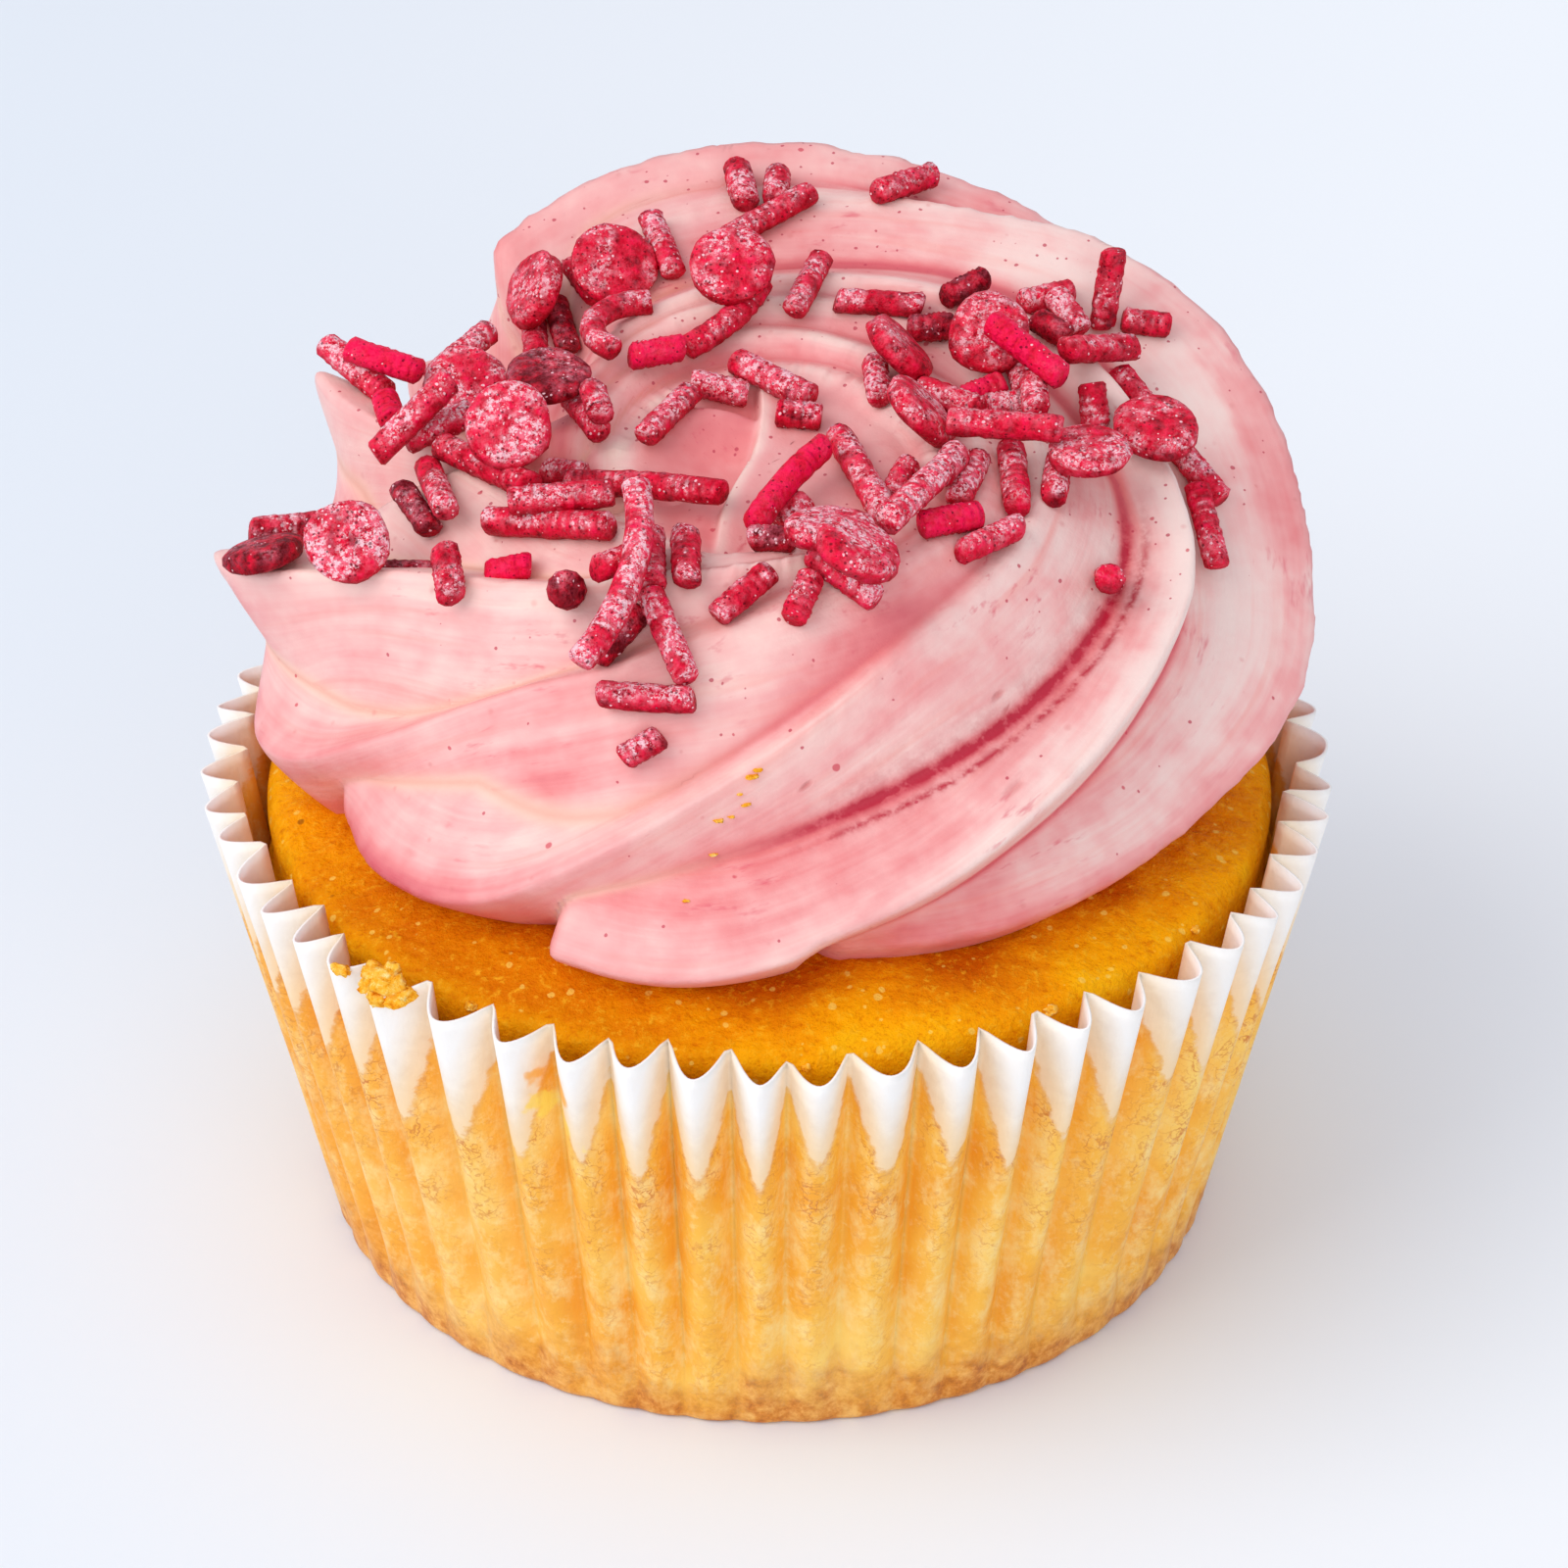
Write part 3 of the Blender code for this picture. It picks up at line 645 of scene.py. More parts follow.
def ridgePasses(azimuths):  # every time an arm goes by, with its place, reach, presence, shape and colour
    found = []
    degrees = np.degrees(azimuths)
    for number, (name, stations) in enumerate(arms.items()):
        first = stations[0][0]
        last = stations[-1][0]
        falls = np.array(armFalls[name], dtype=float)
        tones = np.array(armTones[name], dtype=float)
        rise, sink = armEnds.get(name, (5, 16))
        for turn in (-1, 0, 1):
            where = degrees + 360 * turn
            presence = smoothStep(first - rise, first + 2, where) * smoothStep(-last - sink, 2 - last, -where)
            if presence.max() <= 0:
                continue
            along = np.radians(where)
            uneven = icing["wobble"] * sum(
                size * np.sin(cycles * along + number * 1.7 + cycles)
                for cycles, size in ((5, 0.6), (9, 0.4), (16, 0.15))
            )
            lipPoints = np.column_stack([along * 22, 0 * along + number * 9, 0 * along])
            ragged = icing["ragged"].get(name, 0.1) * lumps(lipPoints, 1.5, number, 3)
            radius, height = followArm(stations, where)
            place, reach = toRay(azimuths, np.maximum(radius, 0.5), height)
            found.append({
                "place": (place + uneven)[:, None], "reach": (reach + uneven * 0.4)[:, None],
                "presence": presence[:, None], "along": (along * 18)[:, None], "number": number,
                "ragged": (ragged * presence)[:, None],
                "fall": [np.interp(where, falls[:, 0], column)[:, None] for column in falls.T[1:]],
                "tone": [np.interp(where, tones[:, 0], column)[:, None] for column in tones.T[1:]],
            })
    return found


def lipReach(azimuths, place, passes):  # the reach of a surface stretched from lip to lip, under the ridges
    flat = 0 * azimuths
    foot = toRay(azimuths, icing["footRadius"] + flat, icing["footHeight"] + flat)
    middle = toRay(azimuths, 0.5 + flat, icing["centreHeight"] + 0.9 + flat)
    places = np.stack([ridge["place"][:, 0] for ridge in passes], axis=1)
    reaches = np.stack([ridge["reach"][:, 0] for ridge in passes], axis=1)
    presences = np.stack([ridge["presence"][:, 0] for ridge in passes], axis=1)
    result = np.empty_like(place)
    for row in range(len(azimuths)):
        whole = presences[row] > 0.999
        known = np.append(places[row][whole], (foot[0][row], middle[0][row]))
        value = np.append(reaches[row][whole], (foot[1][row], middle[1][row]))
        order = np.argsort(known)
        rising = (presences[row] > 0) & ~whole
        if rising.any():
            between = np.interp(places[row][rising], known[order], value[order])
            share = presences[row][rising]
            known = np.append(known, places[row][rising])
            value = np.append(value, between + (reaches[row][rising] - between) * share)
            order = np.argsort(known)
        steps = [np.interp(place[row] + step, known[order], value[order]) for step in (-0.6, 0, 0.6)]
        result[row] = sum(steps) / 3
    return result


def ridgeHeight(ridge, place):  # how far a ridge has fallen away from its lip at a place round the icing
    innerSlope, innerDepth, outerSlope, outerDepth, lip = ridge["fall"]
    away = (place - ridge["place"]) * np.clip(ridge["reach"] / icing["arcScale"], 0.6, 1.3)
    soft = np.sqrt(away**2 + lip**2) - lip
    inner = innerSlope * soft / (1 + innerSlope * soft / (2 * innerDepth))
    outer = outerSlope * soft / (1 + outerSlope * soft / (3 * outerDepth))
    return -np.where(away > 0, inner, outer)


def icingReach(azimuths, place):  # reach of the surface from its core, and what its colours follow
    passes = ridgePasses(azimuths)
    stretched = lipReach(azimuths, place, passes)
    heights = [np.full(place.shape, -icing["valleyLimit"])]
    flows = [np.stack([0 * place, place, 0 * place], axis=2)]
    tones = [0.5 + 0 * place]
    for ridge in passes:
        # every ridge dips under the lips of its neighbours, however gently its own sides fall
        dip = 0
        for other in passes:
            if other is ridge:
                continue
            apart = other["place"] - ridge["place"]
            gap = np.abs(apart) + 1e-6
            depth = np.where(apart < 0, other["fall"][1], other["fall"][3])
            wanted = np.minimum(np.minimum(icing["creaseDrop"], 0.3 * depth), 0.42 * gap)
            short = np.maximum(ridgeHeight(ridge, other["place"]) + wanted, 0)
            along = np.clip((place - ridge["place"]) * np.sign(apart) / gap, 0, None)
            pulled = short * np.minimum(along, 1) + 1.5 * gap * np.maximum(along - 1, 0)
            dip = np.maximum(dip, pulled * other["presence"])
        missing = (1 - ridge["presence"]) * 5 + np.where(ridge["presence"] > 0, 0, 1000)
        away = place - ridge["place"]
        edge = bell(away, 0.8) * ridge["ragged"]
        heights.append(ridgeHeight(ridge, place) + edge - dip - missing)
        flows.append(np.stack([ridge["along"] + 0 * away, away, ridge["number"] * 37.0 + 0 * away], axis=2))
        onLip, inside, outside, width = ridge["tone"]
        side = outside + (inside - outside) * smoothStep(-0.6, 0.6, away)
        tones.append(side + (onLip - side) * bell(away, width))
    heights = np.stack(heights)
    highest = heights.max(axis=0)
    weights = np.exp((heights - highest) / icing["creaseSoftness"])
    reach = stretched + highest + icing["creaseSoftness"] * np.log(weights.sum(axis=0))
    top = heights.argmax(axis=0)
    flow = np.take_along_axis(np.stack(flows), top[None, :, :, None], axis=0)[0]
    blend = np.exp((heights - highest) / 0.5)
    tone = (blend * np.stack(tones)).sum(axis=0) / blend.sum(axis=0)
    order = np.argsort(heights, axis=0)
    second = np.take_along_axis(heights, order[-2:-1], axis=0)[0]
    apart = highest - second
    crease = bell(apart, 0.5) * smoothStep(-0.5, -1.8, highest)
    # powder has gathered between the two arms at the front: a broad haze, a main line and a thin second one
    owner = np.array([-1] + [ridge["number"] for ridge in passes])
    pair = np.sort(np.stack([owner[order[-1]], owner[order[-2]]]), axis=0)
    names = list(arms)
    inked = (pair[0] == names.index("front")) & (pair[1] == names.index("front left"))
    degrees = np.degrees(azimuths)[:, None]
    inked = inked * smoothStep(-95, -72, degrees) * smoothStep(6, -14, degrees)
    lower = owner[order[-1]] == names.index("front")
    inked = inked * (
        0.22 * bell(apart, 1.5) + 0.85 * bell(apart, 0.28) + 0.45 * lower * bell(apart - 1.1, 0.22))
    return reach, flow, tone, crease, inked, bell(apart, 0.6)


centre = {
    "dish": (8.2, 4.2),  # the radii between which the arms give way to the middle
    "lobeX": -3.3, "lobeY": -1.2, "lobeRadius": 6.0, "lobeHeight": 49.9, "lobeRise": 2.4, "lobeHeading": 105,
    "lobeSpread": 65, "lobeOutside": 1.5, "lobeInside": 0.34, "lobeTone": 0.66,
    "flapHeight": 51.1, "flapTone": 0.5, "flapEdgeTone": 0.4, "pitDepth": 1.2,
}


def centreFolds(x, y, height, tone):  # the last folds of the swirl: a lobe and the flap that lies over it
    radius = np.hypot(x, y)
    dish = icing["centreHeight"] + 0.1 * (y * 0.5 - x * 0.15) + 0.012 * radius**2
    height = height + (dish - height) * smoothStep(*centre["dish"], radius)
    # the lobe: a crest curling round the back left, with a face that slopes down to the front
    lobeX, lobeY = x - centre["lobeX"], y - centre["lobeY"]
    fromCrest = np.hypot(lobeX, lobeY) - centre["lobeRadius"]
    heading = np.degrees(np.arctan2(lobeY, lobeX))
    aroundCrest = ((heading - centre["lobeHeading"]) + 180) % 360 - 180
    rise = centre["lobeRise"] * bell(aroundCrest, centre["lobeSpread"])
    crest = centre["lobeHeight"] + rise * smoothStep(0, 6, fromCrest + 6)
    soft = np.sqrt(fromCrest**2 + 0.16) - 0.4
    lobe = crest - np.where(fromCrest > 0, centre["lobeOutside"], centre["lobeInside"]) * soft
    lobe = height + 0.25 * np.logaddexp(0, (lobe - height) / 0.25)
    # the flap: its edge runs from the back to the front, left of the middle, and stands over the lobe
    edge = x - (-2.9 + (y + 8) * 0.165 + 0.5 * np.sin((y + 1) * 0.42))
    top = centre["flapHeight"] + 0.17 * y - 0.1 * np.maximum(edge, 0) + 0.012 * np.maximum(edge, 0) ** 2
    flap = np.maximum(top, height) + 0.12
    over = smoothStep(-0.45, 0.12, edge)
    folded = lobe + (flap - lobe) * over
    window = smoothStep(9.6, 7.4, radius)
    pit = centre["pitDepth"] * np.exp(-(((x + 2.2) / 3.2) ** 2 + ((y + 7.2) / 2.2) ** 2))
    calm = smoothStep(9.0, 6.5, radius)
    folds = centre["lobeTone"] + (centre["flapTone"] - centre["lobeTone"]) * over
    folds = folds - centre["flapEdgeTone"] * bell(edge - 0.15, 0.5)
    return height + (folded - height) * window - pit, tone + (folds - tone) * calm, calm


def icingPoints(azimuths, place):
    reach, flow, tone, crease, ink, seam = icingReach(azimuths, place)
    radius, height = fromRay(azimuths[:, None], place, reach)
    x = radius * np.cos(azimuths[:, None])
    y = radius * np.sin(azimuths[:, None])
    turn, distance, depth, width = icing["hollow"]
    hollowX, hollowY = onCircle(turn, distance)
    near = np.exp(-((x - hollowX) ** 2 + (y - hollowY) ** 2) / width**2)
    height = height - depth * smoothStep(40, 48, height) * near
    height, tone, calm = centreFolds(x, y, height, tone)
    return radius, height, flow, tone, crease * (1 - calm), ink, np.maximum(seam, calm)


def icingFloor(radius):
    return spongeTop(radius) - 0.1 + (icing["rimClearance"] + 0.3) * smoothStep(29, 31.5, radius)


def contactPlaces(azimuths, lowest, highest):  # where the outside of the icing meets the sponge
    share = np.linspace(0, 1, 400)
    place = lowest[:, None] + (highest - lowest)[:, None] * share
    radius, height = icingPoints(azimuths, place)[:2]
    over = height - icingFloor(radius)
    below = (over[:, :200] < 0).nonzero()
    last = np.zeros(len(azimuths), dtype=int)
    np.maximum.at(last, below[0], below[1])
    row = np.arange(len(azimuths))
    low = over[row, last]
    part = np.clip(low / (low - over[row, last + 1]), 0, 1)
    return place[row, last] + part * (place[row, last + 1] - place[row, last])


def makeIcingMaterial():
    material, shader, surface, place = newMaterial("buttercream", Roughness=0.48)
    flow = shader.attribute("flow", "Vector")  # along the ridge, across it, and which ridge, in millimetres
    tone = shader.attribute("tone")
    crease = shader.attribute("crease")
    ink = shader.attribute("ink")
    height = shader.axis(place, 2)
    radius = shader.length(shader.vectors("MULTIPLY", place, (1, 1, 0)))
    outer = shader.remap(radius, 0.0065, 0.0095, smooth=True)  # only outside the middle do ridges run round
    smooth = shader.maths("SUBTRACT", 1.0, shader.attribute("seam"), clamp=True)
    broad = shader.noise(shader.stretch(flow, (0.085, 0.26, 1)), 1.0, 4.0, 0.6)
    streak = shader.noise(shader.stretch(flow, (0.07, 0.85, 1), (3, 7, 1)), 1.0, 3.0, 0.55)
    hair = shader.noise(shader.stretch(flow, (0.16, 3.2, 1), (9, 1, 4)), 1.0, 3.0, 0.6)
    cloud = shader.noise(place, 110.0, 3.0, 0.5)
    mottle = shader.noise(place, 420.0, 2.0, 0.6)
    drawn = shader.plus(shader.sway(broad, 0.17), shader.sway(streak, 0.07))
    drawn = shader.plus(drawn, shader.sway(hair, 0.02))
    steady = shader.times(outer, shader.remap(smooth, 0.0, 1.0, 0.35, 1.0))
    pink = shader.plus(shader.times(drawn, steady), tone)
    pink = shader.plus(pink, shader.sway(cloud, 0.13))
    pink = shader.plus(pink, shader.sway(mottle, 0.08))
    sideways = shader.axis(place, 0)
    onRight = shader.remap(sideways, -0.014, 0.004, smooth=True)
    pink = shader.plus(pink, shader.remap(onRight, 0.0, 1.0, 0.07, 0.0))
    # painted shade: the creases between ridges are drawn a deeper pink, most of all on the right, away from the
    # key light
    pink = shader.plus(pink, shader.times(crease, shader.remap(onRight, 0.0, 1.0, 0.02, 0.6)))
    color = shader.ramp(
        pink, (0.0, (250, 219, 204)), (0.25, (247, 199, 190)), (0.5, (242, 170, 166)),
        (0.75, (234, 133, 133)), (1.0, (216, 90, 100)))
    # painted shade: the pale buttercream is drawn a cooler, greyer white on the right, the side away from the
    # key light; on the left it stays creamier
    shadeOnRight = shader.times(shader.remap(sideways, -0.004, 0.022, smooth=True), shader.remap(pink, 0.5, 0.1))
    color = shader.tint(color, (243, 217, 209), shadeOnRight, 0.7)
    warm = shader.times(crease, shader.remap(onRight, 0.0, 1.0, 0.65, 0.0))
    color = shader.tint(color, (254, 213, 186), warm)
    # painted shade: a thin darker line where one arm's face overhangs the next, browner on the left and redder
    # on the right
    shadowLine = shader.times(shader.maths("POWER", shader.attribute("seam"), 6.0), outer)
    shadowLineTone = shader.mix(onRight, paint(228, 158, 138), paint(218, 96, 102))
    color = shader.mix(shader.times(shadowLine, 0.6), color, shadowLineTone)
    # salmon drawn out along the ridges
    salmon = shader.noise(shader.stretch(flow, (0.055, 0.6, 1), (31, 3, 8)), 1.0, 3.0, 0.6)
    salmon = shader.remap(salmon, 0.54, 0.72)
    salmon = shader.times(shader.times(salmon, outer), 0.4)
    color = shader.tint(color, (242, 132, 120), salmon)
    # a little undissolved powder: blotches, specks and fine dust
    blotch = shader.noise(shader.stretch(flow, (0.5, 1.1, 1), (5, 5, 5)), 1.0, 3.0, 0.65)
    where = shader.remap(shader.noise(place, 130.0, 1.0), 0.48, 0.62)
    stain = shader.times(shader.remap(blotch, 0.59, 0.72), where)
    color = shader.tint(color, (218, 72, 94), stain, 0.65)
    gathered = shader.remap(shader.noise(place, 95.0, 2.0), 0.42, 0.66, 0.04, 0.42)
    speck = shader.specks(place, 520.0, gathered, 0.15)
    color = shader.tint(color, (206, 44, 70), speck, 0.75)
    fewer = shader.remap(gathered, 0.1, 0.42, 0.02, 0.22)
    drop = shader.specks(shader.stretch(flow, (0.0006, 0.001, 0.001)), 240.0, fewer, 0.13)
    color = shader.tint(color, (200, 62, 84), drop, shader.times(outer, 0.75))
    dusty = shader.remap(height, 0.044, 0.052, 0.05, 0.5)
    dusty = shader.times(dusty, shader.remap(shader.noise(place, 160.0, 1.0), 0.35, 0.6, 0.3, 1.0))
    dust = shader.specks(place, 1500.0, dusty, 0.24)
    color = shader.tint(color, (192, 48, 74), dust, 0.8)
    torn = shader.noise(place, 800.0, 3.0, 0.75)
    line = shader.times(ink, shader.remap(torn, 0.4, 0.58, 0.45, 1.7), clamp=True)
    color = shader.tint(color, (186, 16, 48), line)
    # air bubbles: shallow pits, with painted shade darkening their insides
    clustered = shader.noise(place, 75.0, 2.0)
    large = shader.remap(clustered, 0.4, 0.65, 0.12, 0.6)
    pit = shader.specks(shader.stretch(flow, (0.00055, 0.001, 0.001)), 330.0, large, 0.19, "Depth")
    small = shader.specks(place, 800.0, shader.remap(clustered, 0.4, 0.65, 0.05, 0.3), 0.28, "Depth")
    hollow = shader.plus(pit, shader.times(small, 0.5))
    color = shader.tint(color, (216, 112, 110), hollow, 0.7, clamp=True)
    shader.feed(color, surface["Base Color"])
    shader.feed(shader.remap(cloud, 0.3, 0.7, 0.4, 0.55), surface["Roughness"])
    relief = shader.noise(place, 420.0, 4.0, 0.65)
    relief = shader.plus(relief, shader.times(shader.times(streak, 0.7), smooth))
    relief = shader.maths("SUBTRACT", relief, shader.times(pit, 1.3))
    shader.feed(shader.bump(relief, 0.0002, 0.6), surface["Normal"])
    return material


def makeIcing():
    turns = icing["turns"]
    azimuths = (np.arange(turns) * 2 * np.pi / turns + np.pi) % (2 * np.pi) - np.pi
    lowest = toRay(azimuths, 27 + 0 * azimuths, 28 + 0 * azimuths)[0] - 2
    highest = icing["arcScale"] * np.pi / 2 + core(azimuths)[0]
    start = contactPlaces(azimuths, lowest, highest)
    share = np.linspace(0, 1, icing["rows"] + 1)[None, :]
    place = start[:, None] + (highest - start)[:, None] * share
    radius, height, flow, tone, crease, ink, seam = icingPoints(azimuths, place)
    outside = radius[:, :1]
    height = np.maximum(height, icingFloor(radius))
    under = outside * np.linspace(0, 1, icing["undersideRows"] + 1)[None, :-1]
    radius = np.concatenate([under, radius], axis=1)
    height = np.concatenate([icingFloor(under), height], axis=1)
    wider = ((0, 0), (icing["undersideRows"], 0), (0, 0))
    values = {"flow": flow, "tone": tone, "crease": crease, "ink": ink, "seam": seam}
    values = {name: np.pad(value, wider[:value.ndim], mode="edge") for name, value in values.items()}
    points = ringPoints(azimuths, radius, height)
    piece = keepMesh(wrapSheet(points, values), "buttercream_swirl", makeIcingMaterial())
    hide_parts("icing")
    return piece


swirl = makeIcing()
print("icing:", len(swirl.data.polygons), "faces")


sprinkles = {
    "strandRadius": 0.85, "strandSides": 12, "strandRings": 18, "discAround": 24, "discRows": 12,
    "strandSpread": (0.93, 1.07), "strandBlunt": 0.16, "discRadius": (2.5, 2.75), "discHalf": (0.72, 0.9),
    "sink": 0.22, "crowding": 0.86, "step": 0.15, "reach": 5.0, "seed": 41,
    "wayOut": (0, -0.835, 0.55),  # up and forward, the way a sprinkle moves to settle
    "backPlaced": 0.6, "backDropped": 1.5,  # how far back it starts, with its height given or not
}
# What a sprinkle is like: (colour, dark -1 to bright 1, how much of it glitters)
sprinkleMoods = {"plain": (0.0, 0.7), "dark": (-0.9, 0.45), "bright": (0.95, 0.2), "silver": (0.15, 1.3)}
# Strands lie where they were dropped: (azimuth, radius, heading, length, mood). Where it matters there is also
# the bend and the rise of the leading end, both in degrees, the height of the middle, how deep the strand is
# pressed in, and its thickness. The lowest come first.
lowStrands = (
    # left, on the flat of the swirl and in the hollow
    (-178, 20, -76, 6, "plain"), (-176, 21.3, -62, 4.4, "dark"), (-179, 17, -47, 8.4, "plain"),
    (-156, 14.3, -23, 8.4, "plain"), (-154, 21, -80, 3.4, "plain", {"rise": -24}),
    (-147, 18.4, 5, 2.8, "bright", {"press": 0.5}), (-134, 16.9, -90, 2.6, "dark", {"rise": 33, "thick": 1.3}),
    (-164.2, 21.9, -3, 4.2, "dark", {"press": 1.2, "height": 47}),
    (178, 29.6, 13, 4.2, "plain", {"height": 46}),
    (161, 11.9, -66, 5.2, "plain"), (172, 12.5, -45, 3.4, "plain"), (158, 11.2, -75, 2.4, "plain"),
    (163, 24.4, -76, 2.8, "bright"), (131, 22.6, -85, 5.6, "plain", {"height": 50.6}),
    (124, 23.5, -76, 4.4, "dark", {"height": 50, "rise": -20}),
    (164, 20.9, 27, 4.4, "silver", {"height": 50.3, "rise": 11, "thick": 1.1}),
    (145, 23.5, 46, 5.2, "silver", {"height": 51.3, "rise": 15}),
    # back
    (120, 23.3, -63, 4, "plain"), (108, 22, -72, 5.4, "silver"), (94, 26.1, -81, 4, "plain"),
    (89, 25.6, -93, 3, "plain"), (81, 15.4, 70, 5.4, "plain"), (101, 12.5, -130, 7.6, "plain", {"bend": -40}),
    (127, 11.4, 19, 3.4, "bright"), (127, 17.8, -109, 8.8, "plain", {"bend": 150, "height": 53}),
    (88, 6.8, -38, 6, "silver"), (63, 4, -5, 2.8, "plain"), (114, 7.5, -4, 3.6, "silver"),
    (152, 6.9, -122, 5.4, "plain"), (72, 27.8, 39, 4.6, "plain"), (63, 15, -2, 5.4, "plain"),
    # right
    (49, 15.1, 1, 2.8, "dark"), (43, 9, -86, 3.6, "silver"), (50, 18.9, 32, 3, "dark"),
    (43, 23.6, 25, 3.6, "plain"), (39, 23.8, -59, 3.4, "silver"), (32, 20.4, -40, 2.6, "dark"),
    (32, 27.7, 0, 3, "plain"),
    (24, 24.6, -50, 3.4, "plain"), (26, 14.6, -155, 2.8, "bright"), (19, 15, 5, 2.4, "silver"),
    (27, 17.3, -84, 4.2, "silver"), (19, 17, -89, 3.6, "plain"), (23, 12, -28, 4.4, "plain"),
    (-7, 14.8, -88, 5.8, "plain"), (-5, 17.3, -98, 3.6, "plain"), (-15, 12.3, -106, 4.4, "silver"),
    (-11, 10.9, -113, 3.2, "plain"), (-35, 10.4, 57, 5.9, "silver"), (-21, 8.4, -110, 3.6, "plain"),
    (-35, 13.1, 27, 4, "bright"), (-30, 15.1, 40, 4.6, "silver"), (12, 27, -46, 4.3, "plain"),
    (5, 26.8, -77, 5.8, "plain"), (-16, 21.1, -92, 2.8, "plain", {"rise": 30, "thick": 1.1}),
    # middle and front
    (-123, 12.5, -88, 5, "plain"), (-130, 13.6, -144, 3.2, "plain"), (-114, 11.8, -88, 5, "plain"),
    (-121, 16.9, -146, 4.3, "dark"), (-110, 16.9, -63, 5.8, "silver"),
    (-111, 19.7, -10, 5.6, "plain", {"bend": 14}),
    (-110, 21.3, 12, 2.6, "plain"), (-96, 13.7, 38, 4.3, "plain"), (-82, 14.3, 64, 3, "plain"),
    (-71, 13.5, -25, 4.8, "silver"), (-75, 5.3, 39, 2.4, "plain"), (-89, 9.4, -14, 2.5, "dark"),
)
# Discs: (azimuth, radius, height of the middle or None, heading the face leans to, how far it leans, mood)
discs = (
    (-178, 30.5, 45.4, 130, 22, "dark"), (-167, 25.7, 49.1, -90, 48, "silver"),
    (153, 21.1, 51.2, -90, 35, "silver"), (168, 15.9, 51.6, -90, 48, "silver"),
    (145, 16.4, 51.5, -90, 8, "dark"), (129, 23.6, 53.3, -160, 56, "plain"),
    (118, 20.8, 55, -75, 40, "plain"), (98, 16.6, None, -90, 34, "plain"), (48, 11.9, None, 10, 45, "plain"),
    (16, 9.5, None, 10, 45, "plain"), (36, 16.6, 54.6, -90, 50, "plain"), (17, 24.6, 49.2, -90, 14, "plain"),
    (6, 19.3, 50.6, -90, 5, "plain"), (-64, 8, None, 90, 10, "silver"), (-66, 12.6, 51.8, -5, 26, "plain"),
)
highStrands = (
    (156, 28.1, 140, 5.4, "silver", {"rise": 19, "height": 51.4}),
    (153, 26.7, 157, 5, "bright", {"rise": 7, "height": 51.4}),
    (164, 22.4, 26, 6.6, "plain", {"rise": 38, "height": 50.6}),
    (178, 15.1, 38, 2.8, "bright", {"rise": 20, "height": 52.8}), (-161, 13, 3, 6.3, "plain"),
    (90, 22.9, 33, 6.6, "plain"), (24, 17.1, -38, 5.8, "bright", {"rise": -20, "height": 55}),
    (35, 25.7, 60, 5, "plain", {"rise": 74, "height": 55.2}), (30, 23.4, 38, 6, "plain"),
    (14, 20.4, 100, 2.8, "plain", {"rise": 60, "height": 52.4}), (7, 14.2, -8, 7, "plain", {"height": 52.6}),
    (-22, 6, -73, 9.2, "silver"), (-167, 7.5, -22, 10.4, "plain", {"bend": -14}),
    (-72, 3.1, 56, 7.9, "bright", {"bend": -22}),
    (-122, 14.9, -106, 13, "silver", {"bend": -58, "rise": -26, "height": 50.8}),
)


def bendStrand(azimuth, radius, heading, length, extra, tree):  # nine points along its middle
    share = np.linspace(-0.5, 0.5, 9)
    turn = math.radians(extra.get("bend", 0))
    facing = math.radians(heading) + turn * (share[1:] + share[:-1]) / 2
    steps = np.stack([np.cos(facing), np.sin(facing)], axis=1) * length / 8
    path = np.concatenate([[[0, 0]], np.cumsum(steps, axis=0)])
    path -= path[4]
    middle = np.array(onCircle(azimuth, radius))
    path += middle
    if "rise" in extra:
        slope = math.tan(math.radians(extra["rise"]))
    elif "height" in extra:
        slope = 0
    else:
        slope = (topAt(tree, *path[-1]) - topAt(tree, *path[0])) / length
        slope = min(max(slope, -0.9), 0.9)
    height = extra.get("height", topAt(tree, *middle) + sprinkles["strandRadius"])
    lean = 1 / math.sqrt(1 + slope**2)
    plan = middle + (path - middle) * lean
    return np.column_stack([plan, height + share * length * slope * lean])


def settle(points, size, tree, placed, back, press=0):
    # A sprinkle moves up and forward until it clears what lies below, then back until it rests on something.
    forward = np.array(sprinkles["wayOut"]) * sprinkles["step"]

    def isClear(moved):
        for point in moved:
            nearest, normal, _, distance = tree.find_nearest(Vector(point) * millimetre)
            gap = math.copysign(distance / millimetre, (Vector(point) * millimetre - nearest).dot(normal))
            if gap < size - sprinkles["sink"] - press:
                return False
        crowding = sprinkles["crowding"]
        return all(
            np.linalg.norm(moved[:, None] - other[None], axis=2).min() >= (size + otherSize) * crowding
            for other, otherSize in placed
        )

    start = int(back / sprinkles["step"])
    limit = int(sprinkles["reach"] / sprinkles["step"])
    step = next((step for step in range(-start, limit) if isClear(points + forward * step)), limit)
    lowest = next((lower for lower in range(1, limit) if not isClear(points + forward * (step - lower))), 1)
    moved = points + forward * (step - lowest + 1)
    placed.append((moved, size))
    return moved


def strandTemplate():  # a plain tube of unit radius, one unit a ring, closed at both ends
    body = bmesh.new()
    bmesh.ops.create_circle(body, cap_ends=True, segments=sprinkles["strandSides"], radius=1)
    edges = body.edges[:]
    for ring in range(sprinkles["strandRings"]):
        grown = bmesh.ops.extrude_edge_only(body, edges=edges)["geom"]
        for vert in (part for part in grown if isinstance(part, bmesh.types.BMVert)):
            vert.co.z = ring + 1
        edges = [
            part for part in grown
            if isinstance(part, bmesh.types.BMEdge) and all(vert.co.z > ring + 0.5 for vert in part.verts)
        ]
    bmesh.ops.contextual_create(body, geom=edges)
    bmesh.ops.recalc_face_normals(body, faces=body.faces)
    return body


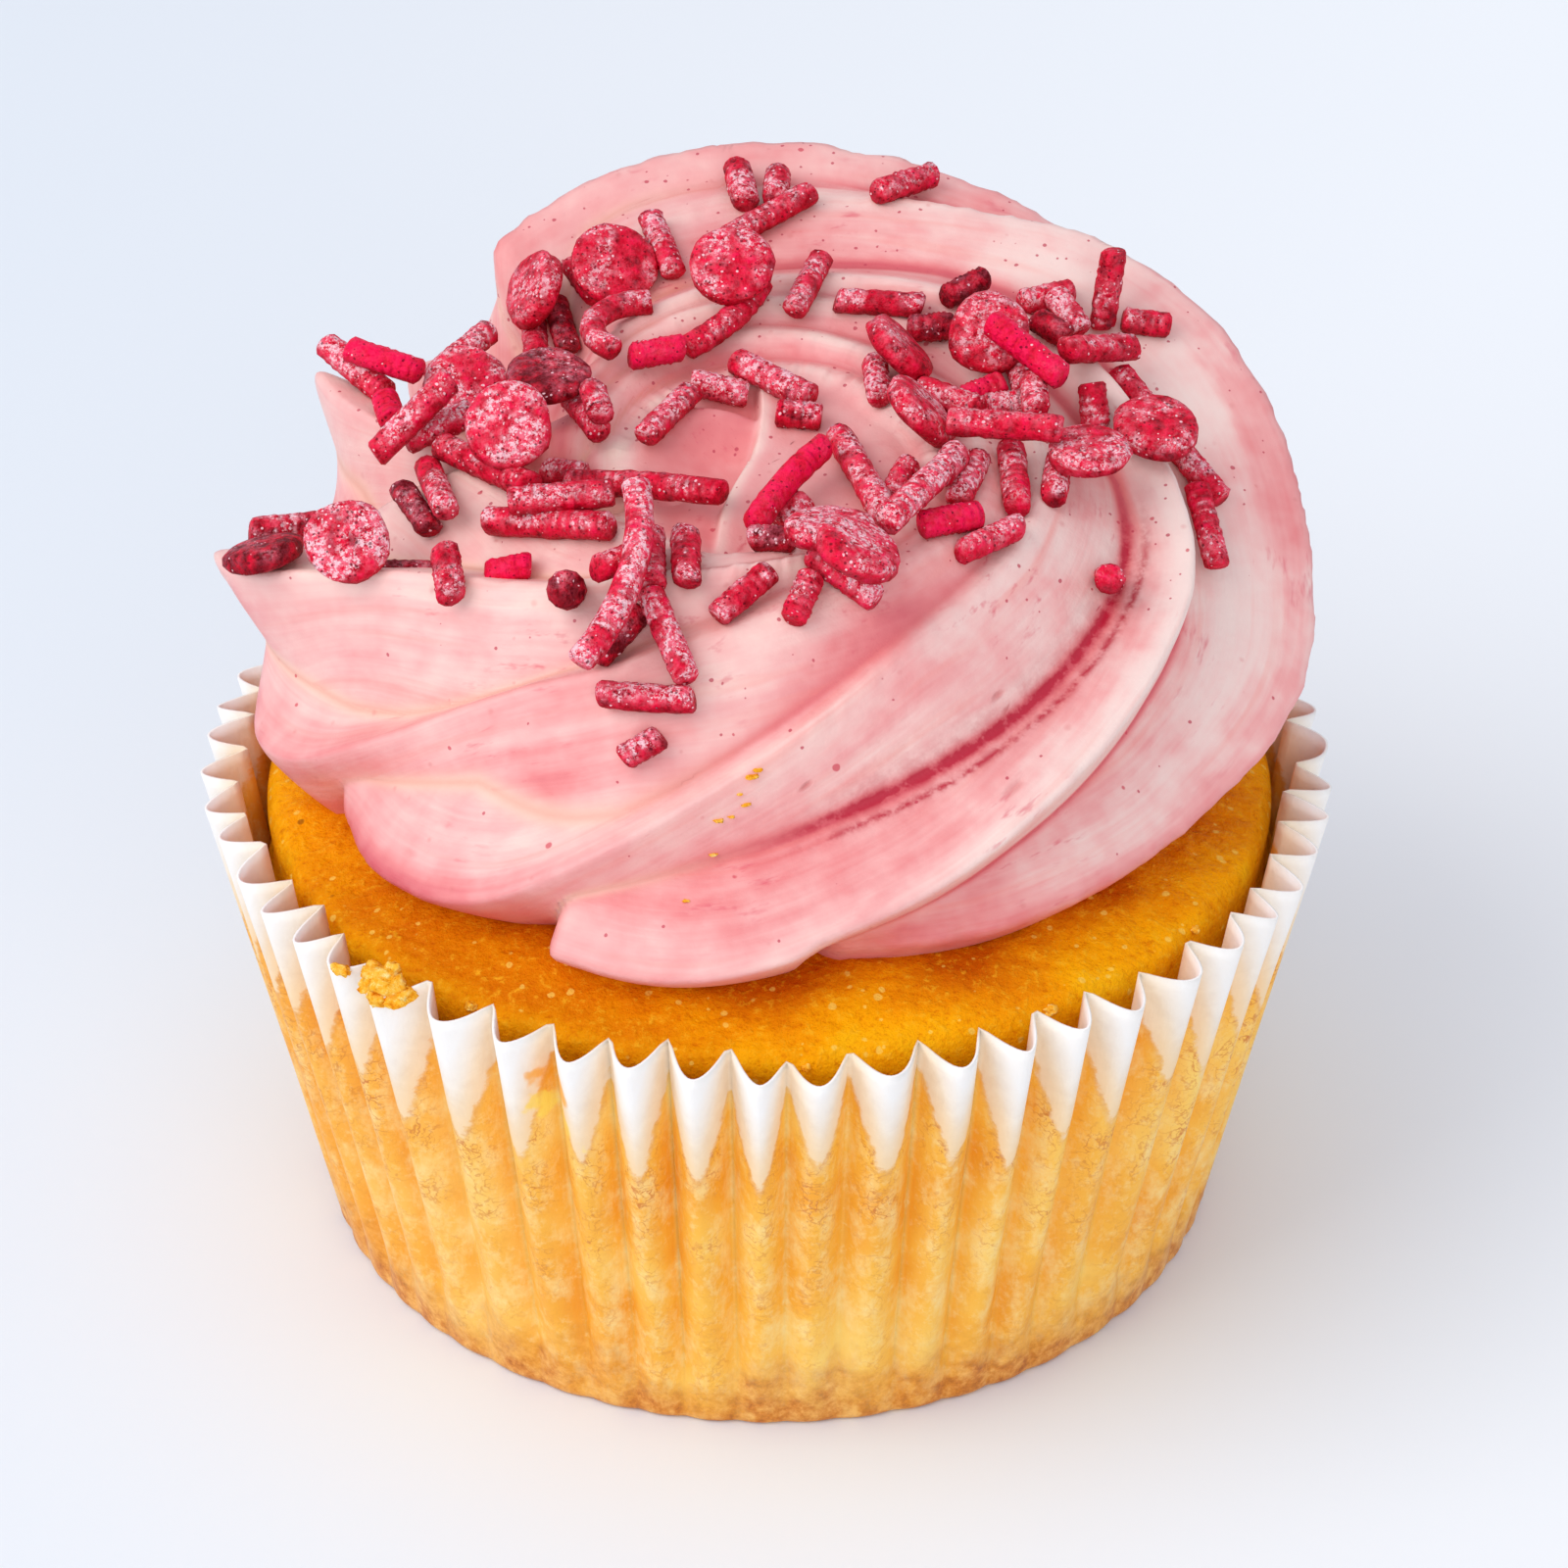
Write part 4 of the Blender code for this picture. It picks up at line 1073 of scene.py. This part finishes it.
def discTemplate():  # a flattened ball of unit radius and unit half thickness
    body = bmesh.new()
    bmesh.ops.create_uvsphere(
        body, u_segments=sprinkles["discAround"], v_segments=sprinkles["discRows"], radius=1)
    for vert in body.verts:
        across = math.hypot(vert.co.x, vert.co.y)
        if across > 1e-6:
            fuller = across ** 0.5 / across
            vert.co.x *= fuller
            vert.co.y *= fuller
        vert.co.z = math.copysign(abs(vert.co.z) ** 0.7, vert.co.z)
    return body


def joinCopies(template, shapes, name, material):
    # shapes has a (points, colour, glitter, along, upward) for each copy, with the points already in place
    pattern = bpy.data.meshes.new("pattern")
    template.to_mesh(pattern)
    template.free()
    body = bmesh.new()
    for points, *_ in shapes:
        pattern.vertices.foreach_set("co", (points * millimetre).astype(np.float32).ravel())
        body.from_mesh(pattern)
    bpy.data.meshes.remove(pattern)
    piece = keepMesh(body, name, material)
    count = len(shapes[0][0])
    for column, label in enumerate(("shade", "glitter", "along", "upward"), 1):
        keepValues(piece.data, label, np.concatenate([shape[column] + np.zeros(count) for shape in shapes]))
    return piece


def templatePoints(template):
    return np.array([vert.co[:] for vert in template.verts])


def makeSprinkleMaterial():
    material, shader, surface, place = newMaterial("sugar sprinkle", Specular_IOR_Level=0.1)
    shade = shader.attribute("shade")
    glitter = shader.attribute("glitter")
    along = shader.attribute("along")
    upward = shader.attribute("upward")
    grain = shader.noise(place, 1300.0, 3.0, 0.65)
    mood = shader.plus(shader.remap(grain, 0.3, 0.7, 0.1, 0.9), shader.times(shade, 0.42))
    body = shader.ramp(
        mood, (0.0, (104, 0, 14)), (0.35, (190, 0, 34)), (0.65, (232, 10, 54)), (1.0, (252, 14, 80)))
    # painted shade: the underside of each sprinkle is drawn a darker red
    body = shader.tint(body, (110, 0, 12), shader.remap(upward, -0.9, 0.15, 0.5, 0.0, smooth=True))
    # silvery dust in patches and rings over a pink film, partly the sprinkles' real coating and partly painted
    # glints: it is drawn stronger on the upper side, which faces the light
    rings = shader.maths("SINE", shader.times(along, 10.5))
    ringed = shader.remap(shader.noise(place, 260.0, 1.0), 0.48, 0.6)
    dusty = shader.times(glitter, shader.remap(upward, -0.4, 0.7, 0.3, 1.15, smooth=True))
    patches = shader.remap(shader.noise(place, 430.0, 2.0, 0.6), 0.38, 0.62, 0.3, 1.45)
    banded = shader.mix(ringed, (1, 1, 1, 1), shader.remap(rings, -0.7, 0.7, 0.65, 1.2))
    dusty = shader.times(shader.times(dusty, patches), banded)
    film = shader.remap(shader.noise(place, 1900.0, 3.0, 0.8), 0.4, 0.62)
    body = shader.tint(body, (244, 106, 128), film, shader.times(dusty, 0.9), clamp=True)
    frostAndGlint = shader.noise(shader.stretch(place, (1, 1, 1), (0.004, 0.002, 0.007)), 2900.0, 3.0, 0.8)
    frostAndGlint = shader.remap(frostAndGlint, 0.485, 0.575)
    frostAndGlint = shader.times(frostAndGlint, shader.remap(dusty, 0.3, 1.15, 0.0, 1.0, smooth=True), clamp=True)
    flecksAndGlints = shader.specks(place, 4200.0, shader.times(dusty, 0.28), 0.5)
    shine = shader.plus(frostAndGlint, flecksAndGlints, clamp=True)
    # near-white where the frost and flecks are: part silver coating, part painted highlight
    color = shader.mix(shader.times(shine, 0.9), body, paint(255, 206, 213))
    dust = shader.specks(shader.stretch(place, (1, 1, 1), (0.005, 0.001, 0.003)), 3600.0, 0.3, 0.42)
    color = shader.tint(color, (96, 0, 20), dust, 0.75)
    shader.feed(color, surface["Base Color"])
    shader.feed(shader.remap(shine, 0.0, 1.0, 0.5, 0.24), surface["Roughness"])
    relief = shader.times(shader.times(rings, ringed), 0.3)
    relief = shader.plus(relief, shader.times(grain, 2.7))
    shader.feed(shader.bump(relief, 0.00017, 1.0), surface["Normal"])
    return material


def makeSprinkles():
    dice = random.Random(sprinkles["seed"])
    tree = searchTree(swirl)
    placed = []
    strandBody = strandTemplate()
    tube = templatePoints(strandBody)
    ring = np.round(tube[:, 2]).astype(int)
    last = sprinkles["strandRings"]
    discBody = discTemplate()
    plate = templatePoints(discBody)
    strandShapes = []
    discShapes = []

    def addStrand(azimuth, radius, heading, length, mood, extra=None):
        extra = extra or {}
        size = sprinkles["strandRadius"] * dice.uniform(*sprinkles["strandSpread"]) * extra.get("thick", 1)
        path = bendStrand(azimuth, radius, heading, length, extra, tree)
        # its ends are blunt, so the balls that stand for it while it settles stop short of them
        inner = path[4] + (path - path[4]) * max(1 - 1.3 * size / length, 0.2)
        back = sprinkles["backPlaced" if "height" in extra else "backDropped"]
        moved = settle(inner, size, tree, placed, back, extra.get("press", 0))
        path += moved[4] - path[4]
        # rings crowd towards the ends, which are a little rounded
        blunt = sprinkles["strandBlunt"] / length
        share = np.concatenate([[0, blunt], np.linspace(0.13, 0.87, last - 3), [1 - blunt, 1]]) * 8
        narrow = np.concatenate([[0.78, 0.97], np.ones(last - 3), [0.97, 0.78]])
        # most are ringed with fine ridges, as they left the nozzle
        ridged = dice.uniform(0, 0.03)
        narrow[1:-1] += [dice.uniform(-0.035, 0.035) + ridged * (-1) ** number for number in range(last - 1)]
        index = np.clip(share.astype(int), 0, 7)
        middle = path[index] + (path[index + 1] - path[index]) * (share - index)[:, None]
        forward = np.gradient(middle, axis=0)
        forward /= np.linalg.norm(forward, axis=1)[:, None]
        side = np.cross(forward, [0, 0, 1])
        side /= np.maximum(np.linalg.norm(side, axis=1), 1e-6)[:, None]
        up = np.cross(side, forward)
        uneven = np.array([dice.uniform(-0.045, 0.045) for _ in range(len(tube))])
        spread = (size * narrow[ring] * (1 + uneven))[:, None]
        outward = side[ring] * tube[:, :1] + up[ring] * tube[:, 1:2]
        points = middle[ring] + outward * spread
        # the ends are broken off a little askew
        askew = (outward[:, :1] * dice.uniform(-0.2, 0.2) + outward[:, 2:] * dice.uniform(-0.25, 0.25)) * size
        points += np.where((ring < 2) | (ring > last - 2), 1, 0)[:, None] * askew * forward[ring]
        color, glitter = sprinkleMoods[mood]
        strandShapes.append((
            points, color + dice.uniform(-0.25, 0.25), glitter * dice.uniform(0.75, 1.15),
            share[ring] / 8 * length + dice.uniform(0, 9), outward[:, 2]))

    def addDisc(azimuth, radius, height, heading, lean, mood):
        size = dice.uniform(*sprinkles["discRadius"])
        thickness = dice.uniform(*sprinkles["discHalf"])
        x, y = onCircle(azimuth, radius)
        z = height if height is not None else topAt(tree, x, y) + thickness
        turn = Matrix.Rotation(math.radians(heading), 3, "Z") @ Matrix.Rotation(math.radians(lean), 3, "Y")
        turn = np.array(turn @ Matrix.Rotation(dice.uniform(0, 6.28), 3, "Z"))
        around = np.arange(10) * 2 * np.pi / 10
        rim = np.column_stack([np.cos(around), np.sin(around), 0 * around]) * (size - thickness)
        samples = np.concatenate([[[0, 0, 0]], rim, rim * 0.5]) @ turn.T + (x, y, z)
        moved = settle(samples, thickness, tree, placed, sprinkles["backPlaced"])
        spread = np.array([size, size * dice.uniform(0.92, 1), thickness])
        uneven = lumps(plate + dice.uniform(0, 50), 0.8, 3, 2)[:, None] * 0.09
        points = (plate * spread * (1 + uneven)) @ turn.T + moved[0]
        color, glitter = sprinkleMoods[mood]
        facing = (plate / np.array([1, 1, 0.5])) @ turn.T
        discShapes.append((
            points, color + dice.uniform(-0.2, 0.2), glitter * dice.uniform(0.6, 1),
            0 * plate[:, 0], facing[:, 2]))

    for entry in lowStrands:
        addStrand(*entry)
    for entry in discs:
        addDisc(*entry)
    for entry in highStrands:
        addStrand(*entry)
    material = makeSprinkleMaterial()
    strands = joinCopies(strandBody, strandShapes, "strand_sprinkles", material)
    rounds = joinCopies(discBody, discShapes, "disc_sprinkles", material)
    return strands, rounds


strandPiece, discPiece = makeSprinkles()
print("sprinkles:", len(strandPiece.data.polygons) + len(discPiece.data.polygons), "faces")


crumbs = {"seed": 9, "rimFlat": 0.85, "rest": 0.25, "rough": 0.6, "lumpSize": 0.42}
# Bits of sponge: (azimuth, radius, height, width). A torn lump of them sits on the rim at the front left.
rimCrumbs = (
    (-133.3, 33.6, 31, 1.3), (-132, 33.8, 31, 1.7), (-130.6, 33.8, 30.8, 1.6), (-129.2, 33.7, 30.5, 1.3),
    (-131.4, 33.1, 31.5, 0.9), (-132.6, 34.2, 30.5, 1.1), (-131.2, 34.4, 30.3, 1.2), (-129.8, 34.2, 30.1, 1.1),
    (-136.4, 34.6, 30.8, 0.7), (-135.8, 34.5, 30.7, 0.6), (-137, 34.7, 30.8, 0.5),
)
looseCrumbs = (  # azimuth, radius, width and how flat; these lie on the icing or on the sponge
    (-92.5, 21, 0.8, 0.25), (-93.4, 21.5, 0.6, 0.25), (-91.7, 20.8, 0.6, 0.25), (-94.4, 21.5, 0.35, 0.3),
    (-97.5, 22.2, 0.6, 0.25), (-98.2, 22.5, 0.45, 0.25), (-95.6, 21.9, 0.3, 0.3), (-101, 24.9, 0.35, 0.3),
    (-124, 31, 0.7, 0.7), (-86, 31.2, 0.6, 0.7), (-58, 31, 0.8, 0.7), (-35, 31, 0.6, 0.7),
)


def makeCrumbMaterial():
    material, shader, surface, place = newMaterial("torn crumb", Roughness=0.6, Specular_IOR_Level=0.1)
    pores = shader.noise(place, 1900.0, 3.0, 0.75)
    color = shader.ramp(
        pores, (0.3, (220, 116, 0)), (0.42, (250, 168, 26)), (0.56, (255, 194, 72)), (0.7, (255, 230, 150)))
    shader.feed(color, surface["Base Color"])
    shader.feed(shader.bump(pores, 0.0003, 0.8), surface["Normal"])
    return material


def makeCrumbs():
    dice = random.Random(crumbs["seed"])
    tree = searchTree(swirl, cake)
    pieces = [(*crumb, crumbs["rimFlat"]) for crumb in rimCrumbs]
    for azimuth, radius, width, flat in looseCrumbs:
        height = topAt(tree, *onCircle(azimuth, radius)) + width * flat * crumbs["rest"]
        pieces.append((azimuth, radius, height, width, flat))
    body = bmesh.new()
    for azimuth, radius, height, width, flat in pieces:
        made = bmesh.ops.create_icosphere(body, subdivisions=3, radius=width / 2)["verts"]
        points = np.array([vert.co[:] for vert in made])
        shift = dice.uniform(0, 90)
        reach = 1 + crumbs["rough"] * lumps(points / width + shift, crumbs["lumpSize"], 2, 3)
        stretch = np.array([dice.uniform(0.9, 1.4), dice.uniform(0.8, 1.2), dice.uniform(0.8, 1) * flat])
        points = points * reach[:, None] * stretch
        points += (*onCircle(azimuth, radius), height)
        for vert, point in zip(made, points):
            vert.co = Vector(point) * millimetre
    return keepMesh(body, "loose_crumbs", makeCrumbMaterial())


crumbPiece = makeCrumbs()
print("crumbs:", len(crumbPiece.data.polygons), "faces")


studio = {
    "distance": 0.33, "elevation": 33.37, "aimX": 0.000911, "aimZ": 0.02805, "lens": 121.1,
    "floorSize": 4.0, "air": (232, 238, 249), "airStrength": 0.82, "lightTarget": (0, 0, 0.03),
}
softboxes = (  # name, place, width, depth, power, colour
    ("key softbox", (-0.45, -0.22, 0.52), 0.6, 0.6, 2.5, (1.0, 0.995, 0.985)),
    ("front fill", (0.15, -0.75, 0.42), 0.6, 0.4, 1.2, (1.0, 0.99, 0.98)),
)


def addSoftbox(name, location, width, depth, power, color):
    light = bpy.data.lights.new(name, "AREA")
    light.shape = "RECTANGLE"
    light.size, light.size_y = width, depth
    light.energy = power
    light.color = color
    lamp = bpy.data.objects.new(name, light)
    scene.collection.objects.link(lamp)
    lamp.location = location
    toTarget = Vector(studio["lightTarget"]) - lamp.location
    lamp.rotation_euler = toTarget.to_track_quat("-Z", "Y").to_euler()


def makeStudio():
    camera = bpy.data.cameras.new("camera")
    camera.lens = studio["lens"]
    camera.sensor_width = 36
    camera.clip_start, camera.clip_end = 0.01, 20
    view = bpy.data.objects.new("camera", camera)
    scene.collection.objects.link(view)
    tilt = math.radians(studio["elevation"])
    view.location = (
        studio["aimX"], -studio["distance"] * math.cos(tilt),
        studio["aimZ"] + studio["distance"] * math.sin(tilt),
    )
    view.rotation_euler = (math.pi / 2 - tilt, 0, 0)
    scene.camera = view

    material, shader, surface, place = newMaterial("pale floor", Roughness=0.7)
    sideways = shader.axis(place, 0)
    away = shader.axis(place, 1)
    soft = shader.noise(place, 6.0, 2.0, 0.5)
    # painted light and shade: the floor is drawn darker and bluer to the left and near the camera, whiter to
    # the right and far back
    shade = shader.plus(shader.remap(sideways, -0.1, 0.1), shader.remap(away, -0.1, 0.3, -0.15, 0.25))
    shade = shader.plus(shade, shader.sway(soft, 0.06))
    color = shader.ramp(shade, (0.0, (226, 232, 239)), (0.5, (240, 242, 245)), (1.0, (252, 253, 254)))
    # painted light: a pale blue tint round the cake, cancelling the warm light it bounces and lightening its
    # contact shadow
    distance = shader.length(place)
    color = shader.tint(color, (232, 243, 255), shader.remap(distance, 0.07, 0.03, 0.0, 0.45, smooth=True))
    shader.feed(color, surface["Base Color"])
    body = bmesh.new()
    bmesh.ops.create_grid(body, x_segments=1, y_segments=1, size=studio["floorSize"] / 2)
    floor = placeMesh(body, "floor", material)

    world = bpy.data.worlds.new("studio air")
    world.use_nodes = True
    background = world.node_tree.nodes["Background"].inputs
    background["Color"].default_value = paint(*studio["air"])
    background["Strength"].default_value = studio["airStrength"]
    scene.world = world
    for softbox in softboxes:
        addSoftbox(*softbox)
    scene.view_settings.view_transform = "Standard"
    scene.view_settings.look = "None"


makeStudio()
